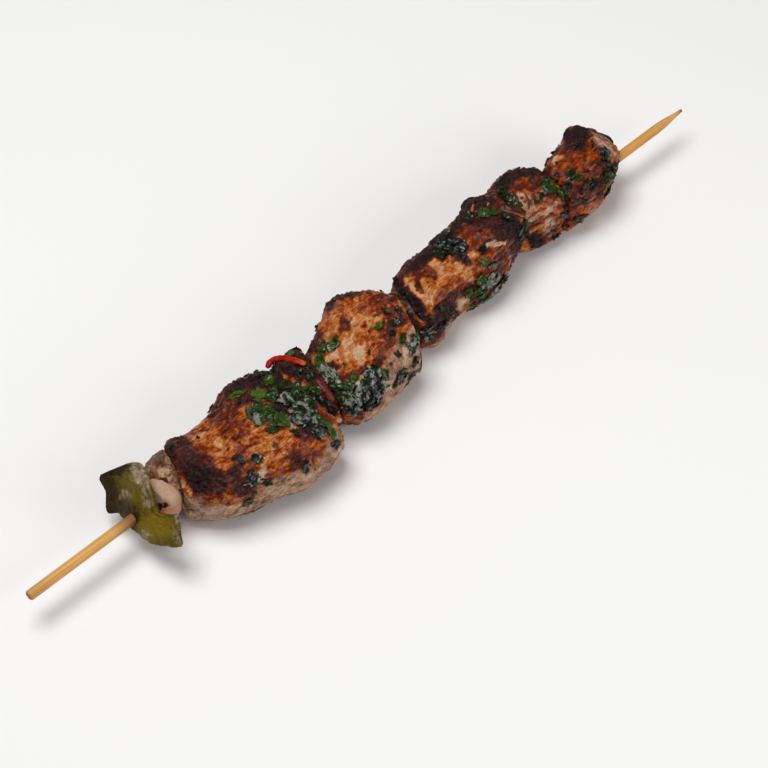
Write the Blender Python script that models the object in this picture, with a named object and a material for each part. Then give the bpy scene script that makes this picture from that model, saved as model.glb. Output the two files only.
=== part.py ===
"""A chicken kebab: grilled chicken, green pepper, onion and chilli threaded on a bamboo stick."""

import math
import random

import bmesh
import bpy
import numpy as np
from mathutils import Vector, noise
from mathutils.bvhtree import BVHTree

# Sizes are in millimetres. x runs along the stick from its middle to its point, y runs
# across it and z is the height above the table. MM turns them into metres.
MM = 0.001
CLEARANCE = 0.3

# The stick
STICK_LENGTH = 250.0
STICK_RADIUS = 1.5
STICK_HEIGHT = 12.0
STICK_POINT_LENGTH = 13.0
STICK_POINT_BULGE = 0.35
STICK_POINT_STEPS = 8
STICK_TIP_RADIUS = 0.45
STICK_CHAMFER = 0.5
STICK_SIDES = 16

# Dents and herbs are placed in a slanting view of the kebab from the eye: along the stick, and
# across it in the plane through the stick that faces the eye.
SIGHT_AZIMUTH = math.radians(-43.1)
SIGHT_ELEVATION = math.radians(54.0)
SIGHT_DISTANCE = 640.0
SIGHT_TARGET = (-5.14, -6.92, 0.0)
SIGHT = np.array(
    [
        -math.sin(SIGHT_AZIMUTH) * math.cos(SIGHT_ELEVATION),
        math.cos(SIGHT_AZIMUTH) * math.cos(SIGHT_ELEVATION),
        -math.sin(SIGHT_ELEVATION),
    ]
)
ACROSS = np.cross([1.0, 0.0, 0.0], SIGHT)
ACROSS /= np.linalg.norm(ACROSS)
EYE = np.array(SIGHT_TARGET) - SIGHT_DISTANCE * SIGHT
AXIS = np.array([0.0, 0.0, STICK_HEIGHT])

# Herbs
LEAF_LIFT = 0.45
LEAF_SINK = 0.5
LEAF_RIPPLE = 0.25
LEAF_CELLS_ALONG = 4
LEAF_CELLS_ACROSS = 2
LEAF_ROOM = 0.5
LEAF_END_SHARE = 0.25
LEAF_LOBES = 0.2
# How far over the surface a leaf is laid down from, how deep it looks for it, and where it lies
# if it finds none.
LEAF_REACH = 4.0
LEAF_SEARCH = 1.8 * LEAF_REACH
LEAF_DROP = 1.2 * LEAF_REACH
FAR_SIDE_Y = 60.0
FAR_LEAF_SIZE = (6.0, 3.5)
FAR_LEAF_SPREAD = 8
FAR_LEAF_HEIGHTS = (7, 16)

# Seams: planes that part neighbours, as x at the stick, then the change of x with y and z.
SEAMS = {
    "pepper_onion": (-84.2, 0.0, 0.5),
    "end_first": (-74.6, 0.35, 0.0),
    "first_bit": (-33.0, -0.12, -0.05),
    "bit_second": (-24.0, 0.2, -0.1),
    "second_slice": (7.0, 0.3, 0.0),
    "slice_third": (10.2, 0.3, 0.0),
    "third_fourth": (54.6, 0.1, 0.0),
    "fourth_fifth": (71.8, 0.12, -0.05),
}

# Lumps of food. Each station is x, front y, back y, underside z and top z.
LUMPS = {
    "chicken_1": {
        "stations": [
            (-80, -8, 9, 0.5, 19),
            (-71, -15, 11, -0.8, 23),
            (-62, -17, 9, -0.5, 22),
            (-55, -19, 10, -0.8, 23),
            (-48, -22, 13, -1.0, 24),
            (-40, -22, 13, -0.8, 23),
            (-26, -24, 10, -0.2, 21),
        ],
        "seams": ("end_first", "first_bit"),
        "square": 2.9,
        "cells": 11,
        "seed": 3,
        "dents": [(-58, 2, 4, 5, 0.9), (-63, -9, 3, 2, 0.7), (-53, 7, 3, 3, 0.7)],
        "leaves": [
            (-45.5, 8.5, 7, 3.5, -35),
            (-41.2, 4.5, 8, 5.0, -75),
            (-40.5, -2.0, 8, 4.5, -80),
            (-36.0, 7.0, 6, 4.0, -70),
            (-34.6, 0.5, 8, 5.0, -65),
            (-34.0, -6.5, 9, 6.0, -75),
            (-33.2, -12.0, 7, 5.0, -70),
            (-52.0, -6.8, 3, 2.5, 20),
            (-57.0, -12.0, 4, 2.0, -30),
            (-61.5, -15.0, 4, 2.5, 0),
        ],
        "far_leaves": 2,
        "colour": (0.30, 0.11, 0.04),
    },
    "chicken_2": {
        "stations": [
            (-29, -17, 9, 0.0, 21),
            (-19, -17, 8.5, -0.8, 23),
            (-12, -16, 12, -1.0, 24),
            (-6, -16, 15.8, -1.0, 24),
            (3, -14, 12, -0.8, 24),
            (9, -15, 9, -0.4, 22),
            (15, -14, 7, 0.0, 20),
        ],
        "seams": ("bit_second", "second_slice"),
        "square": 2.8,
        "cells": 10,
        "seed": 11,
        "dents": [(-9, 0, 3, 4, 0.7), (6, 2, 2, 3, 0.6)],
        "leaves": [
            (-15.5, 6.2, 9, 2.6, -5),
            (-19.5, 1.5, 8, 4.0, 85),
            (-19.0, -5.0, 8, 5.0, 75),
            (-17.5, -11.5, 9, 6.0, 10),
            (-11.5, -9.0, 9, 5.0, 35),
            (1.0, 2.0, 3, 2.2, -10),
            (5.5, 4.2, 4, 2.0, 90),
            (5.0, -7.0, 6, 4.0, 80),
            (0.5, -12.0, 9, 4.0, 10),
        ],
        "far_leaves": 2,
        "colour": (0.36, 0.14, 0.04),
    },
    "chicken_3": {
        "stations": [
            (5, -9, 10, 0.0, 20),
            (15, -10, 10.5, -0.8, 23),
            (26, -6, 10.5, -0.8, 23),
            (38, -7, 12, -0.8, 24),
            (47, -5.5, 14.3, -0.4, 24),
            (60, -2, 9.5, 1.0, 21),
        ],
        "seams": ("slice_third", "third_fourth"),
        "square": 3.4,
        "cells": 11,
        "seed": 23,
        "dents": [(18.5, 4, 1.3, 3, 1.2), (46, 1, 3.4, 1.0, 1.6), (30, 2, 6, 4, 0.6)],
        "leaves": [
            (12.5, -7.0, 6, 4.5, 30),
            (31.0, 10.0, 8, 4.0, -30),
            (36.3, 7.0, 8, 4.5, -75),
            (39.8, -1.0, 5, 2.5, -50),
            (31.5, -6.0, 6, 4.5, 70),
            (36.5, -7.0, 8, 5.0, 20),
            (40.5, -7.5, 5, 3.5, 70),
            (52.0, 6.0, 8, 4.0, -45),
        ],
        "strand": [(43.0, 10.6, 19.0), (46.6, 14.4, 18.7), (50.4, 14.0, 18.5), (53.2, 10.0, 17.6)],
        "far_leaves": 2,
        "colour": (0.26, 0.09, 0.03),
    },
    "chicken_4": {
        "stations": [
            (50, -3, 13, 1.0, 19),
            (59, -4, 16, -0.4, 22),
            (66, -5, 16, -0.7, 22),
            (73, -5, 14.5, -0.3, 20.5),
            (77, -5, 13, 0.5, 19),
        ],
        "seams": ("third_fourth", "fourth_fifth"),
        "square": 2.7,
        "cells": 9,
        "seed": 31,
        "dents": [(65, 3, 4, 3, 0.8)],
        "leaves": [
            (59.3, 8.0, 7, 4.0, -50),
            (70.5, 5.5, 7, 4.5, 40),
            (59.0, 0.5, 4, 3.0, 0),
        ],
        "far_leaves": 1,
        "colour": (0.24, 0.09, 0.04),
    },
    "chicken_5": {
        "stations": [
            (66, -6, 10.5, 0.5, 20),
            (75, -6.5, 10.5, -0.6, 22),
            (83, -6.5, 12, -0.8, 22),
            (90, -4.5, 15.5, -0.6, 23),
            (98, -4, 13, 0.5, 19),
        ],
        "seams": ("fourth_fifth", None),
        "square": 2.9,
        "cells": 10,
        "seed": 43,
        "dents": [(80, -2, 4, 2, 0.5)],
        "leaves": [
            (80.5, 4.0, 6, 2.2, 15),
            (94.0, 3.0, 6, 3.6, 80),
            (88.0, -4.5, 10, 2.4, 35),
            (75.6, 1.0, 4, 2.4, 60),
            (75.5, -6.5, 7, 2.6, -5),
        ],
        "strand": [(93.6, 9.6, 17.5), (96.6, 7.4, 16.6), (98.0, 4.4, 15.4), (97.0, 3.0, 12.5)],
        "far_leaves": 1,
        "colour": (0.24, 0.07, 0.02),
    },
    "chicken_bit": {
        "stations": [
            (-36, -11, 10, 3.0, 18),
            (-30, -13, 12, 2.0, 20),
            (-25, -12, 12, 2.0, 20),
            (-18, -10, 9, 3.0, 18),
        ],
        "seams": ("first_bit", "bit_second"),
        "square": 2.8,
        "cells": 6,
        "seed": 51,
        "dents": [],
        "leaves": [],
        "far_leaves": 0,
        "colour": (0.10, 0.04, 0.02),
    },
    "chicken_end": {
        "stations": [
            (-82, 0, 8, 6.0, 16),
            (-77, -2, 10, 4.0, 19),
            (-72, -4, 10.5, 4.0, 20),
            (-68, -2, 10, 6.0, 18),
        ],
        "seams": (None, "end_first"),
        "square": 2.5,
        "cells": 6,
        "seed": 61,
        "dents": [],
        "leaves": [],
        "far_leaves": 0,
        "colour": (0.20, 0.12, 0.08),
    },
    "onion_wedge": {
        "stations": [
            (-87, -5, 4, 7.0, 15),
            (-81.5, -6, 5.5, 6.0, 17.5),
            (-76, -5.5, 3.5, 8.0, 16.5),
        ],
        "seams": ("pepper_onion", None),
        "square": 4.0,
        "cells": 6,
        "seed": 71,
        "dents": [(-81, -2, 1.3, 1.0, 1.4)],
        "leaves": [],
        "far_leaves": 0,
        "colour": (0.42, 0.28, 0.18),
    },
    "onion_slice": {
        "stations": [
            (3, -5, 5, 4.0, 19),
            (8.4, -8, 7.5, 3.0, 19.5),
            (15, -6, 6, 4.0, 19),
        ],
        "seams": ("second_slice", "slice_third"),
        "square": 2.4,
        "cells": 6,
        "seed": 81,
        "dents": [],
        "leaves": [],
        "far_leaves": 0,
        "colour": (0.34, 0.22, 0.06),
    },
}
LUMP_RELIEF = ((1.1, 11.0), (0.55, 4.5))
SEAM_ROUNDING = 0.7

# The green pepper: a bent band of its wall, as y, then the heights of its two edges over the stick.
PEPPER_STATIONS = [
    (-16.4, 2.0, 3.4),
    (-13.8, 0.4, 5.7),
    (-11.6, -1.0, 7.9),
    (-9.0, -2.4, 6.6),
    (-5.6, -3.8, 5.6),
    (-2.0, -4.4, 8.2),
    (1.4, -3.6, 10.8),
    (4.8, -3.0, 11.4),
    (8.6, -4.6, 9.8),
    (12.0, -1.2, 6.2),
    (15.0, 1.4, 2.8),
]
PEPPER_X = -88.4
PEPPER_LEAN = 0.5
# Bulge: depth, the height of its middle over the stick, its half height and its reach across.
PEPPER_BULGE = (1.2, 4.0, 8.0, 17.0)
# Folds of the wall: how far out, y, height over the stick, and the two half-widths.
PEPPER_FOLDS = [
    (1.1, 1.5, 4.0, 3.0, 12.0),
    (-1.3, 9.0, 2.5, 3.0, 4.5),
    (2.2, 9.6, -6.0, 4.0, 4.0),
    (1.3, 15.5, 2.0, 3.0, 4.0),
    (0.9, -8.0, 1.5, 4.0, 5.0),
]
PEPPER_RIPPLE = (0.5, 5.0)
PEPPER_WALL = 2.9
PEPPER_RIM = 0.6
PEPPER_END_WALL = 0.35
PEPPER_END_LENGTH = 4.5
PEPPER_CELLS_ALONG = 16
PEPPER_CELLS_ACROSS = 6

# Thin strips: points on their centre line as x, y and z, then their width and thickness.
STRIPS = {
    "chilli_strip": {
        "line": [
            (-32.9, 10.9, 15.7),
            (-30.7, 11.2, 16.8),
            (-28.8, 8.6, 18.9),
            (-27.5, 4.5, 20.3),
            (-26.3, 1.8, 20.5),
        ],
        "width": 1.9,
        "thickness": 1.2,
        "colour": (0.45, 0.02, 0.008),
    },
    "red_pepper_strip": {
        "line": [(-27.6, -3.8, 20.4), (-28.0, -7.8, 19.8), (-27.9, -11.0, 17.4)],
        "width": 2.2,
        "thickness": 1.6,
        "colour": (0.14, 0.02, 0.015),
    },
    "onion_curl": {
        "line": [(48.4, 6.8, 23.0), (50.0, 9.6, 21.3), (53.0, 11.0, 20.1), (55.6, 10.0, 20.6)],
        "width": 2.4,
        "thickness": 1.6,
        "colour": (0.22, 0.10, 0.06),
    },
    "onion_sliver": {
        "line": [(51.6, 5.0, 21.8), (53.8, 1.6, 21.6), (55.6, -1.6, 20.6)],
        "width": 3.0,
        "thickness": 1.8,
        "colour": (0.12, 0.03, 0.01),
    },
}
STRIP_SIDES = 8
STRIP_RINGS = 12
STRIP_END_SHARE = 0.35
STRIP_END_POWER = 6
STRAND_WIDTH = 1.6
STRAND_SIDES = 6
STRAND_RINGS = 9

# Neighbours that lie in a piece, which is hollowed to take them.
BED_ROOM = 1.6 * CLEARANCE
BEDS = {
    "chicken_1": ["chilli_strip"],
    "chicken_bit": ["chilli_strip", "red_pepper_strip"],
    "chicken_2": ["chilli_strip", "red_pepper_strip"],
    "chicken_3": ["onion_curl", "onion_sliver"],
    "chicken_4": ["onion_curl", "onion_sliver"],
    "chicken_end": ["onion_wedge", "green_pepper"],
}


def material(name, colour, roughness):
    made = bpy.data.materials.new(name)
    made.use_nodes = True
    shader = made.node_tree.nodes["Principled BSDF"]
    shader.inputs["Base Color"].default_value = (*colour, 1.0)
    shader.inputs["Roughness"].default_value = roughness
    shader.inputs["Metallic"].default_value = 0.0
    return made


def add_object(name, points, faces, colour=None, roughness=0.45):
    mesh = bpy.data.meshes.new(name)
    mesh.from_pydata([tuple(MM * p for p in point) for point in points], [], faces)
    mesh.validate()
    mesh.update()
    mesh.shade_smooth()
    made = bpy.data.objects.new(name, mesh)
    bpy.context.scene.collection.objects.link(made)
    if colour is not None:
        mesh.materials.append(material(name, colour, roughness))
    return made


def curve_through(x, knots, values):
    """The values at x of a smooth curve through the given values at the knots."""
    knots = np.asarray(knots, float)
    values = np.asarray(values, float)
    slopes = np.gradient(values, knots)
    left = np.clip(np.searchsorted(knots, x) - 1, 0, len(knots) - 2)
    width = knots[left + 1] - knots[left]
    t = np.clip((x - knots[left]) / width, 0.0, 1.0)
    return (
        (1 + 2 * t) * (1 - t) ** 2 * values[left]
        + t * (1 - t) ** 2 * width * slopes[left]
        + t**2 * (3 - 2 * t) * values[left + 1]
        - t**2 * (1 - t) * width * slopes[left + 1]
    )


def in_view(points):
    """Where points show in the slanting view: along the stick, and across it."""
    facing = np.cross([1.0, 0.0, 0.0], ACROSS)
    share = ((AXIS - EYE) @ facing) / ((points - EYE) @ facing)
    shown = EYE + (points - EYE) * share[:, None] - AXIS
    return shown[:, 0], shown @ ACROSS


def sight_line(x, across):
    """The line from the eye through a place in the slanting view: its start and its direction."""
    ray = AXIS + [x, 0.0, 0.0] + across * ACROSS - EYE
    return EYE, ray / np.linalg.norm(ray)


def cube_grid(cells):
    """A cube whose sides are split into cells by cells squares, pushed out to even angles."""
    cube = bmesh.new()
    bmesh.ops.create_cube(cube, size=2.0)
    bmesh.ops.subdivide_edges(cube, edges=cube.edges, cuts=cells - 1, use_grid_fill=True)
    points = np.array([vert.co for vert in cube.verts])
    faces = [[vert.index for vert in face.verts] for face in cube.faces]
    cube.free()
    return np.tan(points * math.pi / 4), faces


def seam_x(seam, points):
    x, with_y, with_z = SEAMS[seam]
    return x + with_y * points[:, 1] + with_z * (points[:, 2] - STICK_HEIGHT)


def rounded(distance):
    """A distance kept above zero, with a rounded bend where it would reach it."""
    return (distance + np.sqrt(distance**2 + SEAM_ROUNDING**2)) / 2


def keep_between(points, seams, margin=CLEARANCE / 2):
    """Presses the points that pass a seam flat against it."""
    before, after = seams
    if before:
        wall = seam_x(before, points) + margin
        points[:, 0] = wall + rounded(points[:, 0] - wall)
    if after:
        wall = seam_x(after, points) - margin
        points[:, 0] = wall - rounded(wall - points[:, 0])


def relief(points, seed):
    """The height of the lumps on a piece of meat at each point."""
    shift = Vector((seed, 2.0 * seed, 3.0 * seed))
    return np.array(
        [
            sum(high * noise.noise(Vector(point) / wide + shift) for high, wide in LUMP_RELIEF)
            for point in points
        ]
    )


def lump_shape(lump, directions):
    """The lump's surface in each direction from its middle."""
    square = lump["square"]
    unit = directions / (np.abs(directions) ** square).sum(1)[:, None] ** (1 / square)
    x, front, back, low, high = np.array(lump["stations"], float).T
    half_x = (x[-1] - x[0]) / 2
    along = (x[0] + x[-1]) / 2 + half_x * unit[:, 0]
    edges = [curve_through(along, x, values) for values in (front, back, low, high)]
    half_y = (edges[1] - edges[0]) / 2
    half_z = (edges[3] - edges[2]) / 2
    points = np.column_stack(
        [along, edges[0] + half_y * (1 + unit[:, 1]), edges[2] + half_z * (1 + unit[:, 2])]
    )
    outward = np.sign(unit) * np.abs(unit) ** (square - 1)
    outward /= np.column_stack([np.full(len(unit), half_x), half_y, half_z])
    outward /= np.linalg.norm(outward, axis=1)[:, None]
    height = relief(points, lump["seed"])
    view_x, view_q = in_view(points)
    facing = np.clip(-(outward @ SIGHT) * 3, 0, 1)
    for dent_x, dent_q, wide_x, wide_q, deep in lump["dents"]:
        reach = ((view_x - dent_x) / wide_x) ** 2 + ((view_q - dent_q) / wide_q) ** 2
        height -= deep * facing * np.exp(-reach)
    points += outward * height[:, None]
    keep_between(points, lump["seams"])
    points[:, 2] = np.maximum(points[:, 2], 0.0)
    return points


def grid_solid(top, bottom, rows, columns):
    """The closed faces of two alike grids of points, top and bottom, joined round their rims."""
    size = rows * columns
    faces = []
    for i in range(rows - 1):
        for j in range(columns - 1):
            a, b = i * columns + j, (i + 1) * columns + j
            faces.append((a, b, b + 1, a + 1))
            faces.append((size + a, size + a + 1, size + b + 1, size + b))
    rim = [j for j in range(columns)]
    rim += [i * columns + columns - 1 for i in range(1, rows)]
    rim += [(rows - 1) * columns + j for j in range(columns - 2, -1, -1)]
    rim += [i * columns for i in range(rows - 2, 0, -1)]
    for a, b in zip(rim, rim[1:] + rim[:1]):
        faces.append((a, b, size + b, size + a))
    return np.concatenate([top, bottom]), faces


def add_leaf(name, surface, start, sight, length, width, turn, seams, phase):
    """A wavy leaf that lies on the surface where a line from start along sight meets it."""
    hit, normal, _, _ = surface.ray_cast(Vector(start), Vector(sight))
    if hit is None:
        return None
    turned = math.radians(turn)
    way = Vector((math.cos(turned), 0, 0)) + Vector(ACROSS) * math.sin(turned)
    side = normal.cross(way).normalized()
    way = side.cross(normal)
    top, bottom = [], []
    for i in range(LEAF_CELLS_ALONG + 1):
        s = 2 * i / LEAF_CELLS_ALONG - 1
        round_end = math.sqrt(max(0.0, 1 - s * s))
        half = 0.5 * width * (LEAF_END_SHARE + (1 - LEAF_END_SHARE) * round_end)
        half *= 1 + LEAF_LOBES * math.cos(3 * math.pi * s)
        for j in range(LEAF_CELLS_ACROSS + 1):
            w = 2 * j / LEAF_CELLS_ACROSS - 1
            over = hit + way * (s * length / 2) + side * (w * half) + normal * LEAF_REACH
            below, _, _, _ = surface.ray_cast(over, -normal, LEAF_SEARCH)
            if below is None:
                below = over - normal * LEAF_DROP
            lift = LEAF_LIFT + LEAF_RIPPLE * math.sin(4 * s + 2.3 * w + phase)
            top.append(below + normal * lift)
            bottom.append(below - normal * LEAF_SINK)
    rows, columns = LEAF_CELLS_ALONG + 1, LEAF_CELLS_ACROSS + 1
    points, faces = grid_solid(np.array(top), np.array(bottom), rows, columns)
    keep_between(points, seams, LEAF_ROOM)
    return outward_facing(add_object(name, points, faces))


def outward_facing(obj):
    shape = bmesh.new()
    shape.from_mesh(obj.data)
    bmesh.ops.recalc_face_normals(shape, faces=shape.faces)
    shape.to_mesh(obj.data)
    shape.free()
    return obj


def boolean(obj, operation, others):
    """Joins the others to the object or cuts them from it, then removes them."""
    group = bpy.data.collections.new(obj.name + "_" + operation.lower())
    bpy.context.scene.collection.children.link(group)
    for other in others:
        bpy.context.scene.collection.objects.unlink(other)
        group.objects.link(other)
    step = obj.modifiers.new(operation.lower(), "BOOLEAN")
    step.operation = operation
    step.solver = "EXACT"
    step.operand_type = "COLLECTION"
    step.collection = group
    bpy.context.view_layer.objects.active = obj
    bpy.ops.object.modifier_apply(modifier=step.name)
    for other in others:
        bpy.data.objects.remove(other)
    bpy.data.collections.remove(group)


def lump_leaves(lump, surface):
    """The leaves on a lump: those that show in the slanting view, and a few on its far side."""
    draw = random.Random(lump["seed"])
    leaves = []
    for x, across, length, width, turn in lump["leaves"]:
        placing = (*sight_line(x, across), length, width, turn)
        leaves.append(add_leaf("leaf", surface, *placing, lump["seams"], draw.uniform(0, 6)))
    middle = np.mean([station[0] for station in lump["stations"]])
    for _ in range(lump["far_leaves"]):
        along = middle + draw.uniform(-FAR_LEAF_SPREAD, FAR_LEAF_SPREAD)
        start = (along, FAR_SIDE_Y, draw.uniform(*FAR_LEAF_HEIGHTS))
        placing = (start, (0.0, -1.0, 0.0), *FAR_LEAF_SIZE, draw.uniform(0, 180))
        leaves.append(add_leaf("leaf", surface, *placing, lump["seams"], draw.uniform(0, 6)))
    return [leaf for leaf in leaves if leaf]


def add_strand(line, width):
    """A charred thread that bends over a lump, with both ends in it."""
    knots = np.arange(len(line))
    at = np.linspace(0, len(line) - 1, STRAND_RINGS)
    line = np.array(line, float)
    centre = np.column_stack([curve_through(at, knots, line[:, k]) for k in range(3)])
    shape = tube(centre, [width / 2] * STRAND_RINGS, STRAND_SIDES)
    return outward_facing(add_object("strand", *shape))


def make_lump(name, lump):
    directions, faces = cube_grid(lump["cells"])
    points = lump_shape(lump, directions)
    piece = outward_facing(add_object(name, points, faces, lump["colour"]))
    surface = BVHTree.FromPolygons([Vector(point) for point in points], faces)
    leaves = lump_leaves(lump, surface)
    if "strand" in lump:
        leaves.append(add_strand(lump["strand"], STRAND_WIDTH))
    if leaves:
        boolean(piece, "UNION", leaves)
    return piece


def tube(line, radii, sides, squash=1.0, flat_way=None):
    """A closed tube through the points of a line, with a radius for each point."""
    line = np.asarray(line, float)
    ways = np.gradient(line, axis=0)
    ways /= np.linalg.norm(ways, axis=1)[:, None]
    hint = np.asarray(flat_way if flat_way is not None else (0.0, 0.0, 1.0))
    points, faces = [], []
    for centre, way, radius in zip(line, ways, radii):
        thin = hint - way * (hint @ way)
        thin /= np.linalg.norm(thin)
        wide = np.cross(thin, way)
        for k in range(sides):
            angle = 2 * math.pi * k / sides
            points.append(
                centre + radius * (math.cos(angle) * wide + squash * math.sin(angle) * thin)
            )
    for i in range(len(line) - 1):
        for k in range(sides):
            a, b = i * sides + k, i * sides + (k + 1) % sides
            faces.append((a, b, b + sides, a + sides))
    faces.append(tuple(range(sides - 1, -1, -1)))
    faces.append(tuple((len(line) - 1) * sides + k for k in range(sides)))
    return points, faces


def make_stick():
    """The bamboo stick: blunt at one end, with a long rounded point at the other."""
    half = STICK_LENGTH / 2
    profile = [
        (-half, STICK_RADIUS - STICK_CHAMFER),
        (-half + STICK_CHAMFER / 3, STICK_RADIUS - STICK_CHAMFER / 3),
        (-half + STICK_CHAMFER, STICK_RADIUS),
        (0.0, STICK_RADIUS),
    ]
    for i in range(STICK_POINT_STEPS + 1):
        t = i / STICK_POINT_STEPS
        swell = (1 - t) * (1 + STICK_POINT_BULGE * math.sin(math.pi * t))
        radius = STICK_TIP_RADIUS + (STICK_RADIUS - STICK_TIP_RADIUS) * swell
        profile.append((half - STICK_POINT_LENGTH * (1 - t), min(radius, STICK_RADIUS)))
    line = [(x, 0.0, STICK_HEIGHT) for x, _ in profile]
    points, faces = tube(line, [radius for _, radius in profile], STICK_SIDES)
    return outward_facing(add_object("bamboo_skewer", points, faces, (0.60, 0.30, 0.08), 0.5))


def strip_shape(strip, grow=0.0):
    """A strip's flattened tube, with round ends, swollen by grow."""
    line = np.array(strip["line"], float)
    knots = np.arange(len(line))
    at = np.linspace(0, len(line) - 1, STRIP_RINGS)
    centre = np.column_stack([curve_through(at, knots, line[:, k]) for k in range(3)])
    ends = np.sqrt(np.clip(1 - np.linspace(-1, 1, STRIP_RINGS) ** STRIP_END_POWER, 0, 1))
    radii = (strip["width"] / 2) * (STRIP_END_SHARE + (1 - STRIP_END_SHARE) * ends) + grow
    squash = (strip["thickness"] / 2 + grow) / (strip["width"] / 2 + grow)
    if grow:
        ways = np.gradient(centre, axis=0)
        ways /= np.linalg.norm(ways, axis=1)[:, None]
        centre[0] -= ways[0] * grow
        centre[-1] += ways[-1] * grow
    return tube(centre, radii, STRIP_SIDES, squash)


def make_strip(name, strip):
    return outward_facing(add_object(name, *strip_shape(strip), strip["colour"], 0.35))


def pepper_skin_x(y, height):
    """Where the pepper's skin is along the stick: it leans, bulges and has folds."""
    deep, middle, half, reach = PEPPER_BULGE
    out = deep * (1 - ((height - middle) / half) ** 2)
    high, wide = PEPPER_RIPPLE
    out += high * noise.noise(Vector((y, height, wide)) / wide)
    out *= 1 - (y / reach) ** 2
    for far, fold_y, fold_height, wide_y, wide_height in PEPPER_FOLDS:
        near = ((y - fold_y) / wide_y) ** 2 + ((height - fold_height) / wide_height) ** 2
        out += far * math.exp(-near)
    return PEPPER_X + PEPPER_LEAN * height - out


def pepper_shape(grow=0.0):
    """The band of pepper wall: a folded sheet that leans over the stick, with its thickness."""
    y, low, high = np.array(PEPPER_STATIONS, float).T
    rows, columns = PEPPER_CELLS_ALONG + 1, PEPPER_CELLS_ACROSS + 1
    outer, inner = [], []
    for i in range(rows):
        across = y[0] + (y[-1] - y[0]) * i / (rows - 1)
        bottom = float(curve_through(across, y, low)) - grow
        top = float(curve_through(across, y, high)) + grow
        from_end = min(1.0, (min(across - y[0], y[-1] - across)) / PEPPER_END_LENGTH)
        end_wall = PEPPER_WALL * (PEPPER_END_WALL + (1 - PEPPER_END_WALL) * from_end)
        across *= 1 + grow / y[-1]
        for j in range(columns):
            t = j / (columns - 1)
            height = bottom + (top - bottom) * t
            x = pepper_skin_x(across, height)
            wall = end_wall * (PEPPER_RIM + (1 - PEPPER_RIM) * math.sqrt(4 * t * (1 - t)))
            outer.append((x - grow, across, STICK_HEIGHT + height + CLEARANCE))
            inner.append((x + wall + grow, across, STICK_HEIGHT + height - CLEARANCE))
    return grid_solid(np.array(outer), np.array(inner), rows, columns)


def make_pepper():
    return outward_facing(add_object("green_pepper", *pepper_shape(), (0.15, 0.11, 0.01), 0.3))


def swollen(name):
    """A closed shape like the named piece but larger by the clearance, to hollow a bed for it."""
    if name in STRIPS:
        shape = strip_shape(STRIPS[name], CLEARANCE)
    elif name in LUMPS:
        directions, faces = cube_grid(LUMPS[name]["cells"])
        points = lump_shape(LUMPS[name], directions)
        middle = points.mean(axis=0)
        reach = np.linalg.norm(points - middle, axis=1)[:, None]
        shape = points + (points - middle) / reach * BED_ROOM, faces
    else:
        shape = pepper_shape(CLEARANCE)
    return outward_facing(add_object(name + "_bed", *shape))


def bore():
    """A round hole for the stick, longer than the kebab."""
    line = [(x, 0.0, STICK_HEIGHT) for x in (-STICK_LENGTH / 2, STICK_LENGTH / 2)]
    radius = STICK_RADIUS + CLEARANCE
    return outward_facing(add_object("bore", *tube(line, [radius] * 2, STICK_SIDES)))


def centre_on_table(pieces):
    """Hangs every piece on one empty, so that the kebab's box stands centred on the origin."""
    corners = np.array([vert.co for piece in pieces for vert in piece.data.vertices])
    base = bpy.data.objects.new("kebab", None)
    bpy.context.scene.collection.objects.link(base)
    base.location.y = -(corners[:, 1].min() + corners[:, 1].max()) / 2
    for piece in pieces:
        piece.parent = base


def main():
    for old in list(bpy.data.objects):
        bpy.data.objects.remove(old)
    threaded = {name: make_lump(name, lump) for name, lump in LUMPS.items()}
    threaded["green_pepper"] = make_pepper()
    for name, neighbours in BEDS.items():
        boolean(threaded[name], "DIFFERENCE", [swollen(neighbour) for neighbour in neighbours])
    for piece in threaded.values():
        boolean(piece, "DIFFERENCE", [bore()])
    strips = [make_strip(name, strip) for name, strip in STRIPS.items()]
    centre_on_table([*threaded.values(), *strips, make_stick()])


main()
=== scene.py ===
"""Looks of a grilled chicken kebab: charred meat, pepper, onion, chilli and herbs on a bamboo stick."""

import math
import random

import bmesh
import bpy
import numpy as np
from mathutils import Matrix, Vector, noise
from mathutils.bvhtree import BVHTree


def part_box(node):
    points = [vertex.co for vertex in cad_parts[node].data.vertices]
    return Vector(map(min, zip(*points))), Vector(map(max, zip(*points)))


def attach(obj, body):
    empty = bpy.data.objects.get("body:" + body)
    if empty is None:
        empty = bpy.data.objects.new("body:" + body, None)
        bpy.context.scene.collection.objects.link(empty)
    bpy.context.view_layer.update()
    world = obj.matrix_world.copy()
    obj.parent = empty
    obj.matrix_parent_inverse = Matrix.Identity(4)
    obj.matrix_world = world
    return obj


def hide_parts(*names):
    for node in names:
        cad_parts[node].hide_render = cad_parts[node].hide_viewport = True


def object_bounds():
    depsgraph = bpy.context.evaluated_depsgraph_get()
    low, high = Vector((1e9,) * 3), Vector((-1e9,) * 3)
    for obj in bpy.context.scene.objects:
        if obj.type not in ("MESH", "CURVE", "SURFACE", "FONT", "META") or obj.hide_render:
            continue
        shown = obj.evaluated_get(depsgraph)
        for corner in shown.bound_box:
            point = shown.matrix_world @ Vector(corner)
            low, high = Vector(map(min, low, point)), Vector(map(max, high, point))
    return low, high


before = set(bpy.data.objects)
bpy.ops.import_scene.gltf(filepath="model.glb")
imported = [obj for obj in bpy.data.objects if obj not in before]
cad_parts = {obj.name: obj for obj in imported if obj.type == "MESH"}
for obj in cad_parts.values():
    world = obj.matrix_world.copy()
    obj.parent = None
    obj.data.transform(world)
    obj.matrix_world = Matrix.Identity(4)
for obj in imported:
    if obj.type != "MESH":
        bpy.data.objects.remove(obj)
CAD_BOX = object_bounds()

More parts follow.
